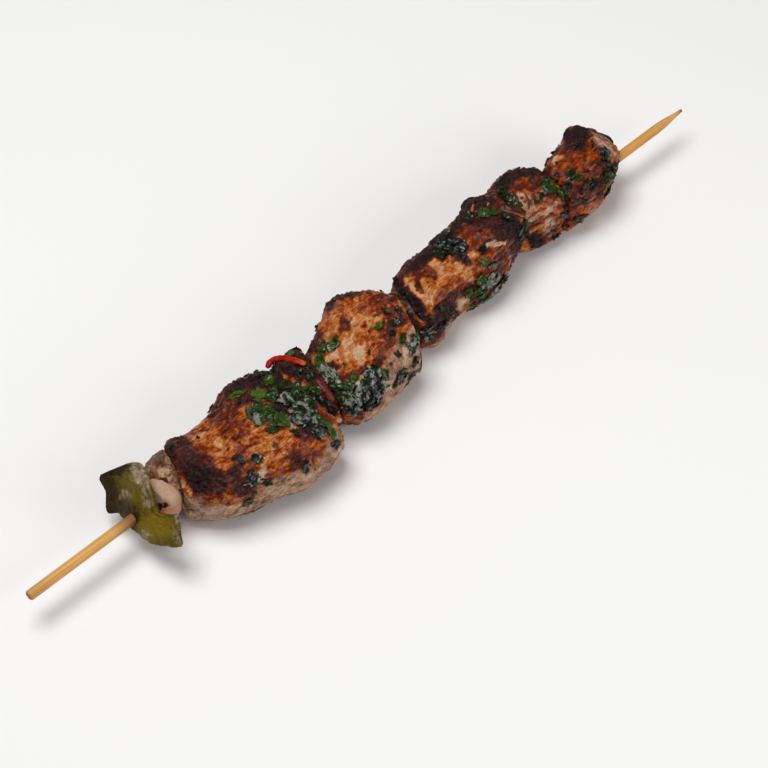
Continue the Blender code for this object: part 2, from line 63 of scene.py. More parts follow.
# Sizes are in millimetres: x along the stick, y across it from its axis, z above the table.
MM = 0.001
CLEARANCE = 0.3
STICK_LOW, STICK_HIGH = (np.array(corner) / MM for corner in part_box("bamboo_skewer"))
STICK_LENGTH = STICK_HIGH[0] - STICK_LOW[0]
STICK_RADIUS = (STICK_HIGH[2] - STICK_LOW[2]) / 2
STICK_HEIGHT = (STICK_HIGH[2] + STICK_LOW[2]) / 2
AXIS_Y = (STICK_HIGH[1] + STICK_LOW[1]) / 2
STICK_POINT_LENGTH = 13.0
STICK_TIP_RADIUS = 0.45
BOX_LOW, BOX_HIGH = (np.array(corner) / MM - [0.0, AXIS_Y, 0.0] for corner in CAD_BOX)
# How far meat and herbs may pass the CAD box.
MEAT_SLACK = 0.35
HERB_SLACK = 0.55
# How far light goes into soft food, and a leaf's middling height.
SOFT_DEPTH = 1.2
LIFT_MIDDLE = 0.45

# The photograph's view. Marks and herbs are placed in it: x along the stick, and q across it
# in the plane through the stick that faces the eye.
SIGHT_AZIMUTH = math.radians(-43.1)
SIGHT_ELEVATION = math.radians(54.0)
SIGHT = np.array(
    [
        -math.sin(SIGHT_AZIMUTH) * math.cos(SIGHT_ELEVATION),
        math.cos(SIGHT_AZIMUTH) * math.cos(SIGHT_ELEVATION),
        -math.sin(SIGHT_ELEVATION),
    ]
)
ACROSS = np.cross([1.0, 0.0, 0.0], SIGHT)
ACROSS /= np.linalg.norm(ACROSS)
SIGHT_DISTANCE = 640.0
SIGHT_TARGET = (-5.14, -6.92, 0.0)
EYE = np.array(SIGHT_TARGET) - SIGHT_DISTANCE * SIGHT
AXIS = np.array([0.0, 0.0, STICK_HEIGHT])
CAMERA_LENS = 105.8

# The stage: sizes and places in metres, and the lights' watts.
FLOOR_REACH = 6.0
WORLD_STRENGTH = 0.17
LIGHTS = (("key", (-0.14, 0.16, 0.86), 0.45, 5.9), ("fill", (0.28, -0.72, 0.42), 0.50, 2.9))

# Seams: planes that part neighbours, as x at the stick, then the change of x with y and z.
SEAMS = {
    "pepper_onion": (-84.2, 0.0, 0.5),
    "end_first": (-74.6, 0.35, 0.0),
    "first_bit": (-33.0, -0.12, -0.05),
    "bit_second": (-24.0, 0.2, -0.1),
    "second_slice": (7.0, 0.3, 0.0),
    "slice_third": (10.2, 0.3, 0.0),
    "third_fourth": (54.6, 0.1, 0.0),
    "fourth_fifth": (71.8, 0.12, -0.05),
}
SEAM_ROUNDING = 0.5
SEAM_MARGIN = 0.06
# The lumps' own bumps: how high and how wide. Strands over them are this wide.
LUMP_RELIEF = ((1.1, 11.0), (0.55, 4.5))
STRAND_WIDTH = 1.6
# Herbs: rings and sectors of a leaf and of a scrap, their thickness, the scraps by each leaf,
# and each lump's leaves at the back and flecks in front.
LEAF_MESH = (7, 28)
SCRAP_MESH = (4, 18)
LEAF_THICKNESS = 0.16
SCRAPS_BY_LEAF = 2
BACK_LEAVES = 10
FLECKS = 12
# A leaf's points are held over the lump and fall on it. Those that fall too short or too far
# go to the place nearest to a middling depth.
HELD_OVER = 4.0
LEAST_FALL = 2.5
MIDDLING_FALL = 4.3
MOST_FALL = 7.0

# Each lump: the seams before and after it; how square it is, its cells along an edge and the
# seed of its noise; the way its fibres run and how drawn out they are; stations of x, front y,
# back y, underside z and top z; dents of x, q, two half-widths and depth; marks of x, q, two
# half-widths, how done the meat is, and the turn, if any; an edge of x and q, below which the
# seared face gives way to the pale side; leaves of x, q, length, width, turn and tint. Base is
# how done the meat is between the marks, and ragged is how far that swings from place to place.
# Doneness is in percent, from 0, cream, to 100, black, or below 0 for unseared flesh, from
# -100, palest, to 0, darkest. Tint is in percent, from 0, black-green, to 100, bright, and
# below 0 for a wet leaf with a painted grey sheen: a reflection of light painted into its
# colour. A strand is a charred thread over the lump, as x, y and z of places along it.
LUMPS = {}
LUMPS["chicken_1"] = dict(
    seams=("end_first", "first_bit"), square=2.9, cells=106, seed=3, ragged=0.95, grain=(1.0, -0.4, 0.05),
    stretch=5.0, base=50,
    stations=[
        (-80, -8, 9, 0.5, 19), (-71, -15, 11, -0.8, 23), (-62, -17, 9, -0.5, 22), (-55, -19, 10, -0.8, 23),
        (-48, -22, 13, -1, 24), (-40, -22, 13, -0.8, 23), (-26, -24, 10, -0.2, 21),
    ],
    dents=[(-58, 2, 4, 5, 0.9), (-63, -9, 3, 2, 0.7), (-53, 7, 3, 3, 0.7)],
    marks=[
        (-75, 3, 2.5, 8, -100), (-74, -4, 2.5, 4, 30), (-71.5, 7.5, 1.6, 2, 55),
        (-69.8, 10.6, 2.2, 1.2, 65), (-68, 8.5, 4, 3, 86), (-68.5, 4.5, 4.5, 3, 80),
        (-66.5, 1.5, 4, 3, 84), (-71, -6, 2.2, 2.2, 60), (-64.5, -1, 2.6, 4, 80), (-65, -6, 5, 3, 80, -15),
        (-68.5, -2, 3.8, 3.6, 98), (-61, -8.5, 4, 3, 76, -30), (-60, -11.5, 3.5, 2.2, 84, -20),
        (-57.5, -12.5, 2, 1.6, 80), (-63, 8.5, 1.2, 2, 50), (-60, 9, 3, 2, 40), (-59.5, 5, 3, 4, 40),
        (-59, -2.5, 3, 2, 36), (-58, 1, 3, 3.5, 34), (-57.5, 2.5, 1.2, 1.8, 16), (-56, 6, 1.5, 2, 38),
        (-53, 9.5, 3, 4, 68), (-52, 12.5, 3, 1.5, 84), (-54, 5, 2, 2, 60), (-51, 5, 3, 3, 62),
        (-50, -7, 5, 3, 33, -15), (-48.5, -3, 4, 2, 37, -15), (-53, 1, 3, 2, 50),
        (-45, -9, 5, 2.5, 38, -15), (-42, -12, 4, 2, 52), (-38, -13, 3, 2, 50), (-56, -7, 3, 2, 62),
        (-57, -5, 2, 2, 72), (-48, 12.5, 6, 1.8, 76), (-41, 11.5, 5, 2.5, 88, -12), (-37, 10, 3, 2.5, 88),
        (-44, 8, 3, 2, 82), (-50, 8, 3, 2, 68), (-43, -14.5, 2.8, 2, 82), (-32, 0, 5, 9, 90),
        (-33, 8, 4, 4, 92), (-33, -8, 4, 4, 88), (-38, -0.5, 2, 3.5, 90), (-38, -5, 1.2, 1.5, -100, 40),
        (-35, -13.5, 2.4, 1.6, 45), (-53.5, -11, 2.6, 1.3, -100, 20),
    ],
    edge=[
        (-80, 4), (-76, 0), (-73, -4), (-71, -7), (-68, -9.8), (-65, -12), (-60, -14.3), (-56, -13.2),
        (-50, -13.6), (-45, -16), (-40, -17.3), (-36, -16), (-33, -14), (-28, -13),
    ],
    leaves=[
        (-45.5, 10, 4.8, 2.2, -40, 90), (-40, 6.5, 4.8, 3.8, -60, 85), (-43.5, 3.5, 7, 2.8, -35, 50),
        (-44.5, 1, 4.4, 2.6, -70, -40), (-42.5, 2.5, 4.5, 3.4, 20, 50), (-43.4, -3.4, 4, 2.4, -60, 45),
        (-40.4, 1.8, 4, 3, -30, 55), (-41.5, -1, 3.4, 6, 0, 45), (-39.5, -3, 5.4, 3, 80, 60),
        (-37.5, 3.8, 5, 2, -5, 40), (-35.5, 8, 3.4, 2.6, -30, 70), (-33.5, 5, 4.4, 3, -70, 35),
        (-34.5, 1, 4.4, 3, -50, -30), (-31, 2, 5, 3, -60, 45), (-33, -1.5, 6, 5, -30, -15),
        (-30, -2, 4.4, 2.6, -70, 40), (-31, -5, 6, 3, -80, -30), (-33.5, -7.5, 6.4, 4.4, -45, -15),
        (-33, -11, 5.4, 3.8, -60, -15), (-30, -10, 6, 3.2, -80, 55), (-29.6, -13.5, 4, 3, 80, 70),
        (-36, -5.5, 4, 2.2, -70, -30), (-55.7, -4.5, 2.4, 1.7, 80, 25), (-52, -7, 3.4, 2.7, -20, 12),
        (-55.8, -9, 2.5, 1.9, 30, 12), (-56.5, -11.8, 4.6, 1.8, -25, -5), (-53.2, -13.8, 3.4, 1.8, 0, 2),
        (-42, -17, 3.2, 3, 60, 2), (-61.5, -14.8, 3.4, 2.6, 20, 30), (-58.5, -14, 2.2, 1.1, 45, 60),
        (-45.5, -7, 1.5, 0.9, 20, 50), (-31, -16.4, 4.6, 1.5, -20, 0), (-36.5, 11, 3, 2, 20, 20),
        (-38.5, -7.5, 3, 1.6, -50, 10),
    ],
)
LUMPS["chicken_2"] = dict(
    seams=("bit_second", "second_slice"), square=2.8, cells=98, seed=11, ragged=0.85,
    grain=(0.6, 1.0, 0.0), stretch=2.0, base=50,
    stations=[
        (-29, -17, 9, 0, 21), (-19, -17, 8.5, -0.8, 23), (-12, -16, 12, -1, 24), (-6, -16, 15.8, -1, 24),
        (3, -14, 12, -0.8, 24), (9, -15, 9, -0.4, 22), (15, -14, 7, 0, 20),
    ],
    dents=[(-9, 0, 3, 4, 0.7), (6, 2, 2, 3, 0.6)],
    marks=[
        (-19, -2, 3.4, 6, 82), (-16, -10, 6, 5, 88), (-9, -12, 4, 3, 90), (-4, -12.5, 3, 2, 82),
        (-20, 9, 4, 1.8, 87), (-14.5, 9.5, 3.5, 2, 74, 25), (-11, 12.2, 3, 1.4, 60, 30),
        (-6.5, 15.6, 4, 1, 84), (0, 13.9, 4, 1.1, 84, -22), (6, 11.6, 4, 1.2, 80, -24),
        (9.5, 9, 1.6, 1.6, 70), (8.5, 5.5, 2, 3, 68), (8.7, 0, 1.6, 2, 74), (5, 9, 3, 2, 62),
        (-9, 10.5, 5, 2.5, 36, 15), (-2, 10.5, 5, 2.5, 40), (-4, 6, 5, 3, 38), (3, 6, 3, 3, 50),
        (6, 5, 2.4, 4, 62), (-12.5, 6, 2.5, 2, 42), (-2.5, 7, 2.5, 1.5, 26), (0.5, 4.5, 3, 1.5, 24, -35),
        (-8, 5, 4, 2, 30), (-12.5, 0, 3, 2, 28), (-14, -2, 3, 1.5, 40), (-5, 1, 4, 3, 40),
        (-2, -1, 3, 2, 46), (1.5, 0, 2, 2, 50), (-18.5, 3.5, 1, 1, 50), (-16.2, 3.2, 2.2, 1.2, 6, -10),
        (-9.8, 2.5, 1.6, 2.2, 8, -20), (-9, -1, 2.2, 2.6, 4, -30), (-7, 8.3, 1.8, 1.6, 72, -20),
        (-2.6, 5, 1.2, 0.8, 55), (-15, -4.5, 4, 1.2, 72, -5), (-9, -4.8, 4, 1, 56), (-6, -6, 3, 1.6, 78),
        (-1, -4, 3, 1.5, 72, 20), (2, -2, 2, 1.8, 68), (4, -0.5, 1.5, 2, 74), (-13.3, -7, 1.4, 1.3, -100),
        (-6, -2.4, 0.6, 0.6, 90), (-3.8, -1.2, 0.6, 0.5, 85), (-4, 12, 0.7, 0.5, 85),
        (1.8, -10, 1.7, 1.4, 42), (-1.2, -8, 1.5, 1, 50, 40), (9, 2.5, 1.1, 1.1, 97),
    ],
    edge=[
        (-28, -15), (-12, -15), (-7.5, -9), (-5.5, -7.2), (-2, -5.5), (1, -3.8), (4, -2.6), (7.5, -1.8),
        (10, -2.5), (14, -3),
    ],
    leaves=[
        (-15, 6.3, 7, 2.2, -5, 65), (-20, 4, 4.4, 3, 60, 60), (-20.5, 1, 5, 3, 80, -50),
        (-19.5, -3, 6, 3.5, 75, -40), (-20, -8, 6, 4, 70, -30), (-17, -6, 5, 3, 10, 45),
        (-20, -12.5, 5, 4, 45, -12), (-16, -10.5, 6, 4, 20, -15), (-14.5, -5.6, 3, 2, 20, 75),
        (-12, -9, 5, 4, 50, -25), (-9, -7.5, 5, 3.5, 70, -15), (-10.5, -12, 6, 3.5, 30, -10),
        (-6.5, -9.5, 4, 2.6, 85, 45), (-15, -14, 7, 3.5, 0, 5), (-5, -13.5, 5, 2.5, 0, 25),
        (-2, -12, 4, 3, 40, 30), (-22.5, -5.5, 4, 2.6, 80, 40), (-22.5, 5.5, 3, 2.4, 0, 40),
        (1, 2, 3, 2, -15, 75), (5.5, 4.3, 3.2, 1.4, -70, 12), (6, -0.3, 3.2, 2.8, 60, 8),
        (9, 2.6, 1.6, 1.5, 0, 0), (3.2, -1.5, 3.2, 0.9, 88, 10), (0.3, -7.3, 2.8, 1.2, 70, 15),
        (4.5, -4.8, 3.6, 2.2, 30, 50), (5.5, -8.5, 5.4, 4, 45, -30), (7.5, -11, 5, 3, -50, 40),
        (3.5, -12, 4.4, 3, 0, 12), (-3, -8.3, 1.1, 0.8, 0, 10), (8.5, -7, 4, 2.4, 60, 20),
        (0, -14.5, 5, 2.4, 10, 15), (-22, -10.5, 3.6, 2.4, 70, 20),
    ],
)
LUMPS["chicken_3"] = dict(
    seams=("slice_third", "third_fourth"), square=3.4, cells=106, seed=23, ragged=0.8,
    grain=(1.0, 0.4, 0.0), stretch=3.0, base=62,
    stations=[
        (5, -9, 10, 0, 20), (15, -10, 10.5, -0.8, 23), (26, -6, 10.5, -0.8, 23), (38, -7, 12, -0.8, 24),
        (47, -5.5, 14.3, -0.4, 24), (60, -2, 9.5, 1, 21),
    ],
    dents=[(18.5, 4, 1.3, 3, 1.2), (46, 1, 3.4, 1, 1.6), (30, 2, 6, 4, 0.6)],
    marks=[
        (12.3, -1, 1.3, 6, 33), (17.5, 8, 2, 1.4, 20), (16.8, 3.5, 1, 3.6, 10), (20.5, 3, 1.6, 3, 24),
        (18.5, 0, 3, 2, 20), (17, -2, 2, 1.6, 28), (18.7, 4, 0.9, 2.2, 64), (22.5, 7.5, 2.6, 2, 74),
        (21, 9.5, 4, 1.5, 74), (24.5, 5.5, 1.5, 1.5, 62), (22.5, 3, 1.5, 2, 36), (26, 2, 2.5, 1.6, 24),
        (27, 7, 2, 1.5, 26), (28, 5, 2.5, 3, 18), (30.5, 2.5, 3, 2.5, 20), (33.5, -0.5, 2, 2.5, 24),
        (33, 5, 2.5, 1.5, 56, -20), (30, 0, 1.5, 1, 52), (25, 0, 3, 1, 46), (23, -1.5, 3, 1.5, 62),
        (29, -2.5, 3, 1.2, 46), (36, 2, 2, 2, 50), (23, -4.5, 5, 2, 80, 5), (20, -7, 4, 2.5, 88),
        (26.5, -5, 2, 1.2, 62), (15, -7.5, 4, 3, 85), (27, 10, 7, 1.8, 94), (34, 11, 5, 2, 94),
        (41, 11.5, 5, 1.6, 94), (31, 8, 2.5, 2, 88), (35.5, 6, 2, 4, 92), (14.5, 9.8, 2.6, 1.2, 78),
        (38.8, 2.5, 2, 1.2, 20), (40.5, 3.8, 1.2, 0.8, 30), (42, 7.5, 4, 2, 57, -25),
        (40.5, 5.5, 3, 1.5, 53, -30), (45, 9.5, 4, 1.5, 62, -25), (46, 5, 4, 2, 66, -20),
        (50, 2, 3, 3, 72), (40, -2, 3, 2, 52), (43, 0, 2, 1.5, 56), (44, -4.5, 4, 2, 68),
        (48, -4, 4, 2.5, 68), (37, -2, 2, 1.5, 52), (35, -7, 5, 2.5, 80), (49, 7.5, 4, 2.5, 82, -35),
        (53.5, 3, 3.2, 4, 90, -35), (55.5, -1, 2.5, 3, 96), (46, -7, 3, 1, 42, 10), (52, -4, 3, 2.5, 88),
        (42.5, 2.2, 1.2, 1, 92), (26.5, -7.2, 2.8, 1.2, -100, 15), (19, -10.2, 2.5, 0.8, -100, 10),
        (43.5, -8.5, 2.5, 0.8, -100, 15), (14.2, 2.5, 1.9, 7.4, 99), (46.2, 2.5, 3.2, 0.7, 78, -14),
        (46.9, 1.1, 3, 0.8, -100, -25), (47, 14, 5, 2, 90), (51.5, 12.5, 3, 2, 86, -30),
        (47, 13.9, 0.9, 0.5, 30),
    ],
    edge=[
        (4, -9), (10, -9.8), (13, -11), (19, -10.6), (24, -8.5), (28, -7.8), (30, -9.5), (38, -10.5),
        (42, -9.5), (47, -7.5), (52, -5.5), (60, -3),
    ],
    leaves=[
        (12.3, -7.4, 4.8, 4.6, 0, -10), (17.5, -8.5, 4, 2.2, 0, 6), (22, -6.8, 3.6, 1.7, -60, 5),
        (33.5, 9.5, 6, 3, -35, 4), (36.2, 7, 6, 3.6, -70, 2), (35.8, 3.8, 3.2, 2.2, -80, 3),
        (35.8, 12, 3, 2, 60, 30), (29.8, 8.3, 4, 2.2, -40, 20), (39.8, -0.8, 3.8, 1.8, -55, 90),
        (41.2, -3, 3.2, 1.4, -50, -50), (35.8, -4.3, 3.6, 2.6, 30, 90), (29.7, -5, 3.2, 2.6, 80, 60),
        (32.5, -7, 4.4, 3.6, 20, 55), (36, -6.5, 5, 3.6, 20, -45), (39.5, -6, 4.4, 3.6, 40, -35),
        (38, -9, 5, 2.6, 20, -30), (33, -9.8, 5, 2.2, 0, 40), (41.8, -8, 3.2, 2.6, 80, 20),
        (28, -9.5, 4.4, 2.2, 20, 40), (49.5, 10.5, 3.8, 2.6, -40, 60), (52, 8.5, 3.8, 2.6, -45, 50),
        (54, 5.5, 4.4, 3, -60, 8), (55.5, -1, 4.4, 3, 70, 10), (42.5, 2, 2.2, 2, 0, 2),
        (33, 7, 4, 2.4, -40, 2), (45, 11.5, 4, 2.2, 0, 5), (50, -6.5, 6, 2.6, 60, 2),
        (54.5, -6, 4.4, 3, 80, 2), (20.5, -4, 2.4, 1.4, 30, 2), (45.5, -9.5, 5, 2, 30, 20),
    ],
    strand=[(43, 10.6, 19), (46.6, 14.4, 18.7), (50.4, 14, 18.5), (53.2, 10, 17.6)],
)
LUMPS["chicken_4"] = dict(
    seams=("third_fourth", "fourth_fifth"), square=2.7, cells=82, seed=31, ragged=0.55,
    grain=(1.0, -0.15, 0.0), stretch=4.0, base=45,
    stations=[
        (50, -3, 13, 1, 19), (59, -4, 16, -0.4, 22), (66, -5, 16, -0.7, 22), (73, -5, 14.5, -0.3, 20.5),
        (77, -5, 13, 0.5, 19),
    ],
    dents=[(65, 3, 4, 3, 0.8)],
    marks=[
        (62, 13.5, 5, 2.6, 92), (66.5, 13.5, 3.5, 2.6, 88, -15), (70, 11, 3, 2.6, 92, -35),
        (59, 12, 2.2, 2.2, 88), (72.5, 8.5, 2.2, 2.2, 82), (64, 10.5, 3, 1.5, 68), (61.5, 10, 1.5, 1, 52),
        (67, 9.5, 2.5, 1.5, 62), (64.5, 8, 2, 1.2, 42), (67, 6, 1.8, 1.6, 55), (66.6, 3.4, 2, 1.3, -50),
        (70, 8, 2, 1.5, 72), (69.5, 1.9, 2, 1, -45), (73, 0, 1.5, 2, 62), (65, 1.8, 2, 0.9, 25),
        (63, -5, 2.8, 1.6, -60), (66, -3.5, 3.2, 1.6, -62), (59, -4, 2.2, 3, 88), (57.5, -4, 2, 3, 92),
        (59.5, -1.5, 1.5, 1, 50), (66, -6.5, 3, 1, 52), (69.5, -3, 3, 1.2, 58),
        (61.5, -2.5, 2, 1.2, 42, 20), (62, 7.5, 1.4, 2, -80, -30), (63, 4.5, 1.6, 2.5, -70, -20),
        (61.5, 1, 2.5, 1.2, -80), (65.5, -0.3, 4, 1.2, -70), (70, 0.3, 2.5, 1, -60),
        (64.5, 5.5, 1.6, 1.8, -55, 10), (60.8, 4, 1, 1.6, -70), (63.2, 6, 0.5, 2.6, 62, -20),
        (65.4, 4.6, 0.5, 2, 60, -10), (67.5, -1.7, 4.5, 0.5, 50), (61, 8.2, 0.5, 2, 60, -20),
        (67.4, 4, 0.4, 1.6, 62), (64, 1.2, 3.4, 0.4, 50, -4), (69.5, 0.9, 2.6, 0.35, 55, -12),
        (62.5, -0.6, 2.4, 0.35, 55, -6), (66, -4.7, 3, 0.4, 66, -8), (63, -6.2, 3, 0.4, 72),
    ],
    edge=[(48, -8), (60, -7.5), (77, -7.5)],
    leaves=[
        (58.5, 9.5, 4.8, 4, -45, 30), (60, 6.5, 3.2, 2.6, -60, 45), (59, 12, 3, 2, 0, 30),
        (58, 0.5, 3.6, 2.6, 0, 65), (72, 6, 4.8, 3.6, 85, 50), (73.4, 1.5, 3, 1.6, 80, 35),
        (72.4, -2, 2.4, 1.4, 60, 10), (69, 4.8, 3.2, 1.7, 10, -20), (72.5, 3.5, 3.2, 2.2, 20, 30),
        (70, -3.9, 2.6, 1.7, 20, 2), (69.5, -6.8, 6, 1.8, -5, 2), (56.5, 6, 3, 2, -60, 20),
        (63.5, -7.5, 4, 2, 0, 10),
    ],
)
LUMPS["chicken_5"] = dict(
    seams=("fourth_fifth", None), square=2.9, cells=90, seed=43, ragged=0.55, grain=(1.0, 0.35, 0.1),
    stretch=2.5, base=56,
    stations=[
        (66, -6, 10.5, 0.5, 20), (75, -6.5, 10.5, -0.6, 22), (83, -6.5, 12, -0.8, 22),
        (90, -4.5, 15.5, -0.6, 23), (98, -4, 13, 0.5, 19),
    ],
    dents=[(80, -2, 4, 2, 0.5)],
    marks=[
        (75, 8, 2.6, 2.6, 68), (74.5, 4.5, 1.6, 2, 62), (78, 7, 1.6, 1.6, 52),
        (80, 10.2, 2.6, 0.9, 12, 10), (79.5, 8.5, 1.5, 1, 46), (83, 8.5, 3, 2, 63, 20),
        (85, 6.4, 3, 2, 60), (81, 6.6, 2.4, 1.5, 47), (86.5, 3, 4, 2.5, 57), (84, 1.5, 3, 1.5, 64),
        (89.5, 3.5, 2.5, 2.5, 56), (88, 1, 3, 1.5, 60), (89.5, 12.5, 4, 3, 95),
        (92.5, 10.5, 2.6, 2.6, 94, -45), (88.5, 9.5, 2, 2, 92), (93, 8, 2, 1.5, 62),
        (86.5, 11.5, 1.6, 1.6, 78), (95.5, 10, 1.5, 1.5, 72, -45), (77.5, 2.5, 2, 2, 64),
        (79, -0.5, 3, 2, 60), (76, -2, 3, 2, 64), (80, -4, 4, 1.5, 62), (83.5, -2, 3, 1.5, 74),
        (86.5, -2.5, 2.5, 1.5, 88), (91, -1, 3, 1.5, 88), (90.5, -3.5, 2, 1, 82), (84, -5, 3, 1.2, 72),
        (78, -6, 5, 1, 46), (95.5, 7, 1.2, 2.5, -80), (96.5, 3.5, 1.3, 2.6, -75),
        (95.5, -2, 2, 1.5, 88, -30), (97.5, -3.5, 1, 1, 92), (86, 2.2, 0.7, 0.9, 95),
    ],
    edge=[(64, -8), (75, -7.5), (80, -6.5), (84, -7), (88, -6), (92, -5), (100, -4)],
    leaves=[
        (80.5, 3.8, 5.2, 1.5, 20, 25), (75.3, 1.5, 3.6, 1.9, 80, 40), (77.5, 2, 3, 1.4, 20, 12),
        (82, 2.2, 3, 1.1, 0, 50), (94, 3.8, 3.8, 3.4, 0, 8), (93.2, 1.2, 3.6, 2.4, 85, 5),
        (84.5, -1.5, 3.6, 2, 85, 30), (91, -3.3, 4.8, 2.3, 10, 45), (88, -5.6, 5.4, 1.7, 45, 60),
        (84.5, -7.6, 5.4, 1.5, 15, 55), (93, -2.5, 2.2, 2, 0, 40), (74.5, -7.5, 5.4, 2.6, -10, 2),
        (77, -3, 4, 1.2, 0, 5), (80.5, -2, 3, 1.2, 0, 5), (77, 6.5, 1.2, 1.1, 0, 10),
        (83.5, -0.5, 2.2, 1.1, 0, 30), (79.5, -4.3, 3, 1.2, 0, 5), (88.2, 9.8, 1.6, 1.5, 0, 20),
        (92.5, 7.2, 2, 1.2, 30, 5),
    ],
    strand=[(93.6, 9.6, 17.5), (96.6, 7.4, 16.6), (98, 4.4, 15.4), (97, 3, 12.5)],
)
LUMPS["chicken_bit"] = dict(
    seams=("first_bit", "bit_second"), square=2.8, cells=54, seed=51, ragged=0.9, grain=(0.2, 1.0, 0.2),
    stretch=3.0, base=86,
    stations=[(-36, -11, 10, 3, 18), (-30, -13, 12, 2, 20), (-25, -12, 12, 2, 20), (-18, -10, 9, 3, 18)],
    marks=[
        (-30.3, 5.5, 0.9, 2.6, 30, 15), (-27.6, 1.6, 1.1, 0.8, 42, 20), (-24.5, -11, 2.4, 0.9, 42),
        (-26, -12.2, 1.6, 0.6, -100),
    ],
    edge=[(-40, -14), (-15, -14)],
    leaves=[
        (-27.5, -0.5, 3, 2, 20, 60), (-26, -2, 3, 2, 60, 50), (-28.3, -4.5, 6, 1.8, -80, 2),
        (-26.4, -5, 6.4, 1.4, -80, 0), (-27.3, -8, 5, 1.4, -80, 2), (-25.2, 10.2, 2.2, 1.5, 20, 80),
        (-24.5, 2.5, 3, 2, 60, 50), (-23.5, -10.5, 2, 1.6, 0, 50), (-29.8, -9, 5, 2.6, -80, 25),
        (-30, 1, 4, 2.4, -60, 40), (-25, -8.8, 4, 1.2, -75, 5),
    ],
)
LUMPS["chicken_end"] = dict(
    seams=(None, "end_first"), square=2.5, cells=48, seed=61, ragged=0.8, grain=(0.5, 0.8, 0.5),
    stretch=2.5, base=-42,
    stations=[(-82, 0, 8, 6, 16), (-77, -2, 10, 4, 19), (-72, -4, 10.5, 4, 20), (-68, -2, 10, 6, 18)],
    marks=[
        (-76, 9.6, 4, 1.2, -30), (-77.8, 7, 1.4, 1.6, -50), (-75, 5, 1.6, 1.6, -80),
        (-73.8, 7.5, 1.2, 1.2, -40), (-74.8, 1, 1.6, 2.2, -80), (-75.5, -2.5, 1.6, 2, 42),
        (-76.6, 3, 0.7, 1.2, 65),
    ],
    edge=[(-90, -4), (-60, -4)],
)
LUMPS["onion_wedge"] = dict(
    seams=("pepper_onion", None), square=4.0, cells=44, seed=71, ragged=0.8, grain=(0.0, 1.0, 0.3),
    stretch=4.0, base=0,
    stations=[(-87, -5, 4, 7, 15), (-81.5, -6, 5.5, 6, 17.5), (-76, -5.5, 3.5, 8, 16.5)],
    dents=[(-81, -2, 1.3, 1, 1.4)],
    marks=[
        (-81, -4.8, 2.6, 1.2, 42), (-76.2, 0.5, 0.9, 2.4, 16, 20), (-77.5, -5, 1.6, 0.7, 24, 20),
        (-80.4, 3.6, 0.8, 2.4, 20, -20), (-78.6, 1.5, 0.9, 1.6, 10, -20), (-81.2, -1.9, 1.6, 1.3, 30, -30),
        (-81, -2, 1.2, 0.9, 95, -30),
    ],
    edge=[(-90, -20), (-60, -20)],
)
LUMPS["onion_slice"] = dict(
    seams=("second_slice", "slice_third"), square=2.4, cells=44, seed=81, ragged=0.8,
    grain=(0.0, 1.0, 0.3), stretch=4.0, base=72,
    stations=[(3, -5, 5, 4, 19), (8.4, -8, 7.5, 3, 19.5), (15, -6, 6, 4, 19)],
    marks=[(12.6, 0, 0.5, 4, 55), (11.2, 8, 1.4, 1.2, 45), (10.4, 1, 1.3, 8, 90)],
    edge=[(-10, -20), (20, -20)],
)

# The green pepper: a bent band of its wall, as y, then the heights of its two edges over the stick.
PEPPER_STATIONS = [
    (-16.4, 2, 3.4), (-13.8, 0.4, 5.7), (-11.6, -1, 7.9), (-9, -2.4, 6.6), (-5.6, -3.8, 5.6),
    (-2, -4.4, 8.2), (1.4, -3.6, 10.8), (4.8, -3, 11.4), (8.6, -4.6, 9.8), (12, -1.2, 6.2), (15, 1.4, 2.8),
]
PEPPER_X = -88.4
PEPPER_LEAN = 0.5
# Bulge: depth, the height of its middle over the stick, its half height and its reach across.
PEPPER_BULGE = (1.2, 4.0, 8.0, 17.0)
# Folds of the wall: how far out, y, height over the stick, and the two half-widths.
PEPPER_FOLDS = [
    (1.1, 1.5, 4, 3, 12), (-1.3, 9, 2.5, 3, 4.5), (2.2, 9.6, -6, 4, 4), (1.3, 15.5, 2, 3, 4),
    (0.9, -8, 1.5, 4, 5),
]
PEPPER_RIPPLE = (0.5, 5.0)
PEPPER_WALL = 2.9
PEPPER_RIM = 0.6
PEPPER_END_WALL = 0.35
PEPPER_END_LENGTH = 4.5
# Marks of its skin, as x, q, two half-widths, how green or how blistered it is in percent, and
# the turn, if any.
PEPPER_TONES = [
    (-89, 8, 3.4, 7, 14, 20), (-91.5, 3, 2.5, 5, 20, 10), (-85, 5, 3, 6, 58, 10),
    (-86.5, -5, 4.5, 3.5, 85, -40), (-83.5, -11.5, 2, 2.5, 50), (-91, 0.5, 1.6, 1.4, 35),
    (-94, 5, 1.5, 2, 8), (-85, 12.6, 5.5, 1.2, 4, -19), (-79.6, 9, 0.8, 2.4, 10, 20),
    (-81.5, 2.5, 1.2, 2.5, 45, 25), (-89.6, 0.4, 1.7, 1.9, 12),
]
PEPPER_BLISTERS = [
    (-81, 8.6, 2.4, 3.2, 100), (-83.6, 2, 1, 2.6, 60, -10), (-88, 6.2, 1.4, 1.1, 45, 20),
    (-90, -5.5, 1.3, 1.2, 70), (-83, -9.2, 0.8, 1.7, 40, -35), (-79.6, -6.8, 1.2, 1.4, 90),
    (-82.2, 4.6, 1.2, 1, 70), (-82.6, -11.4, 1, 2, 45, -30),
]

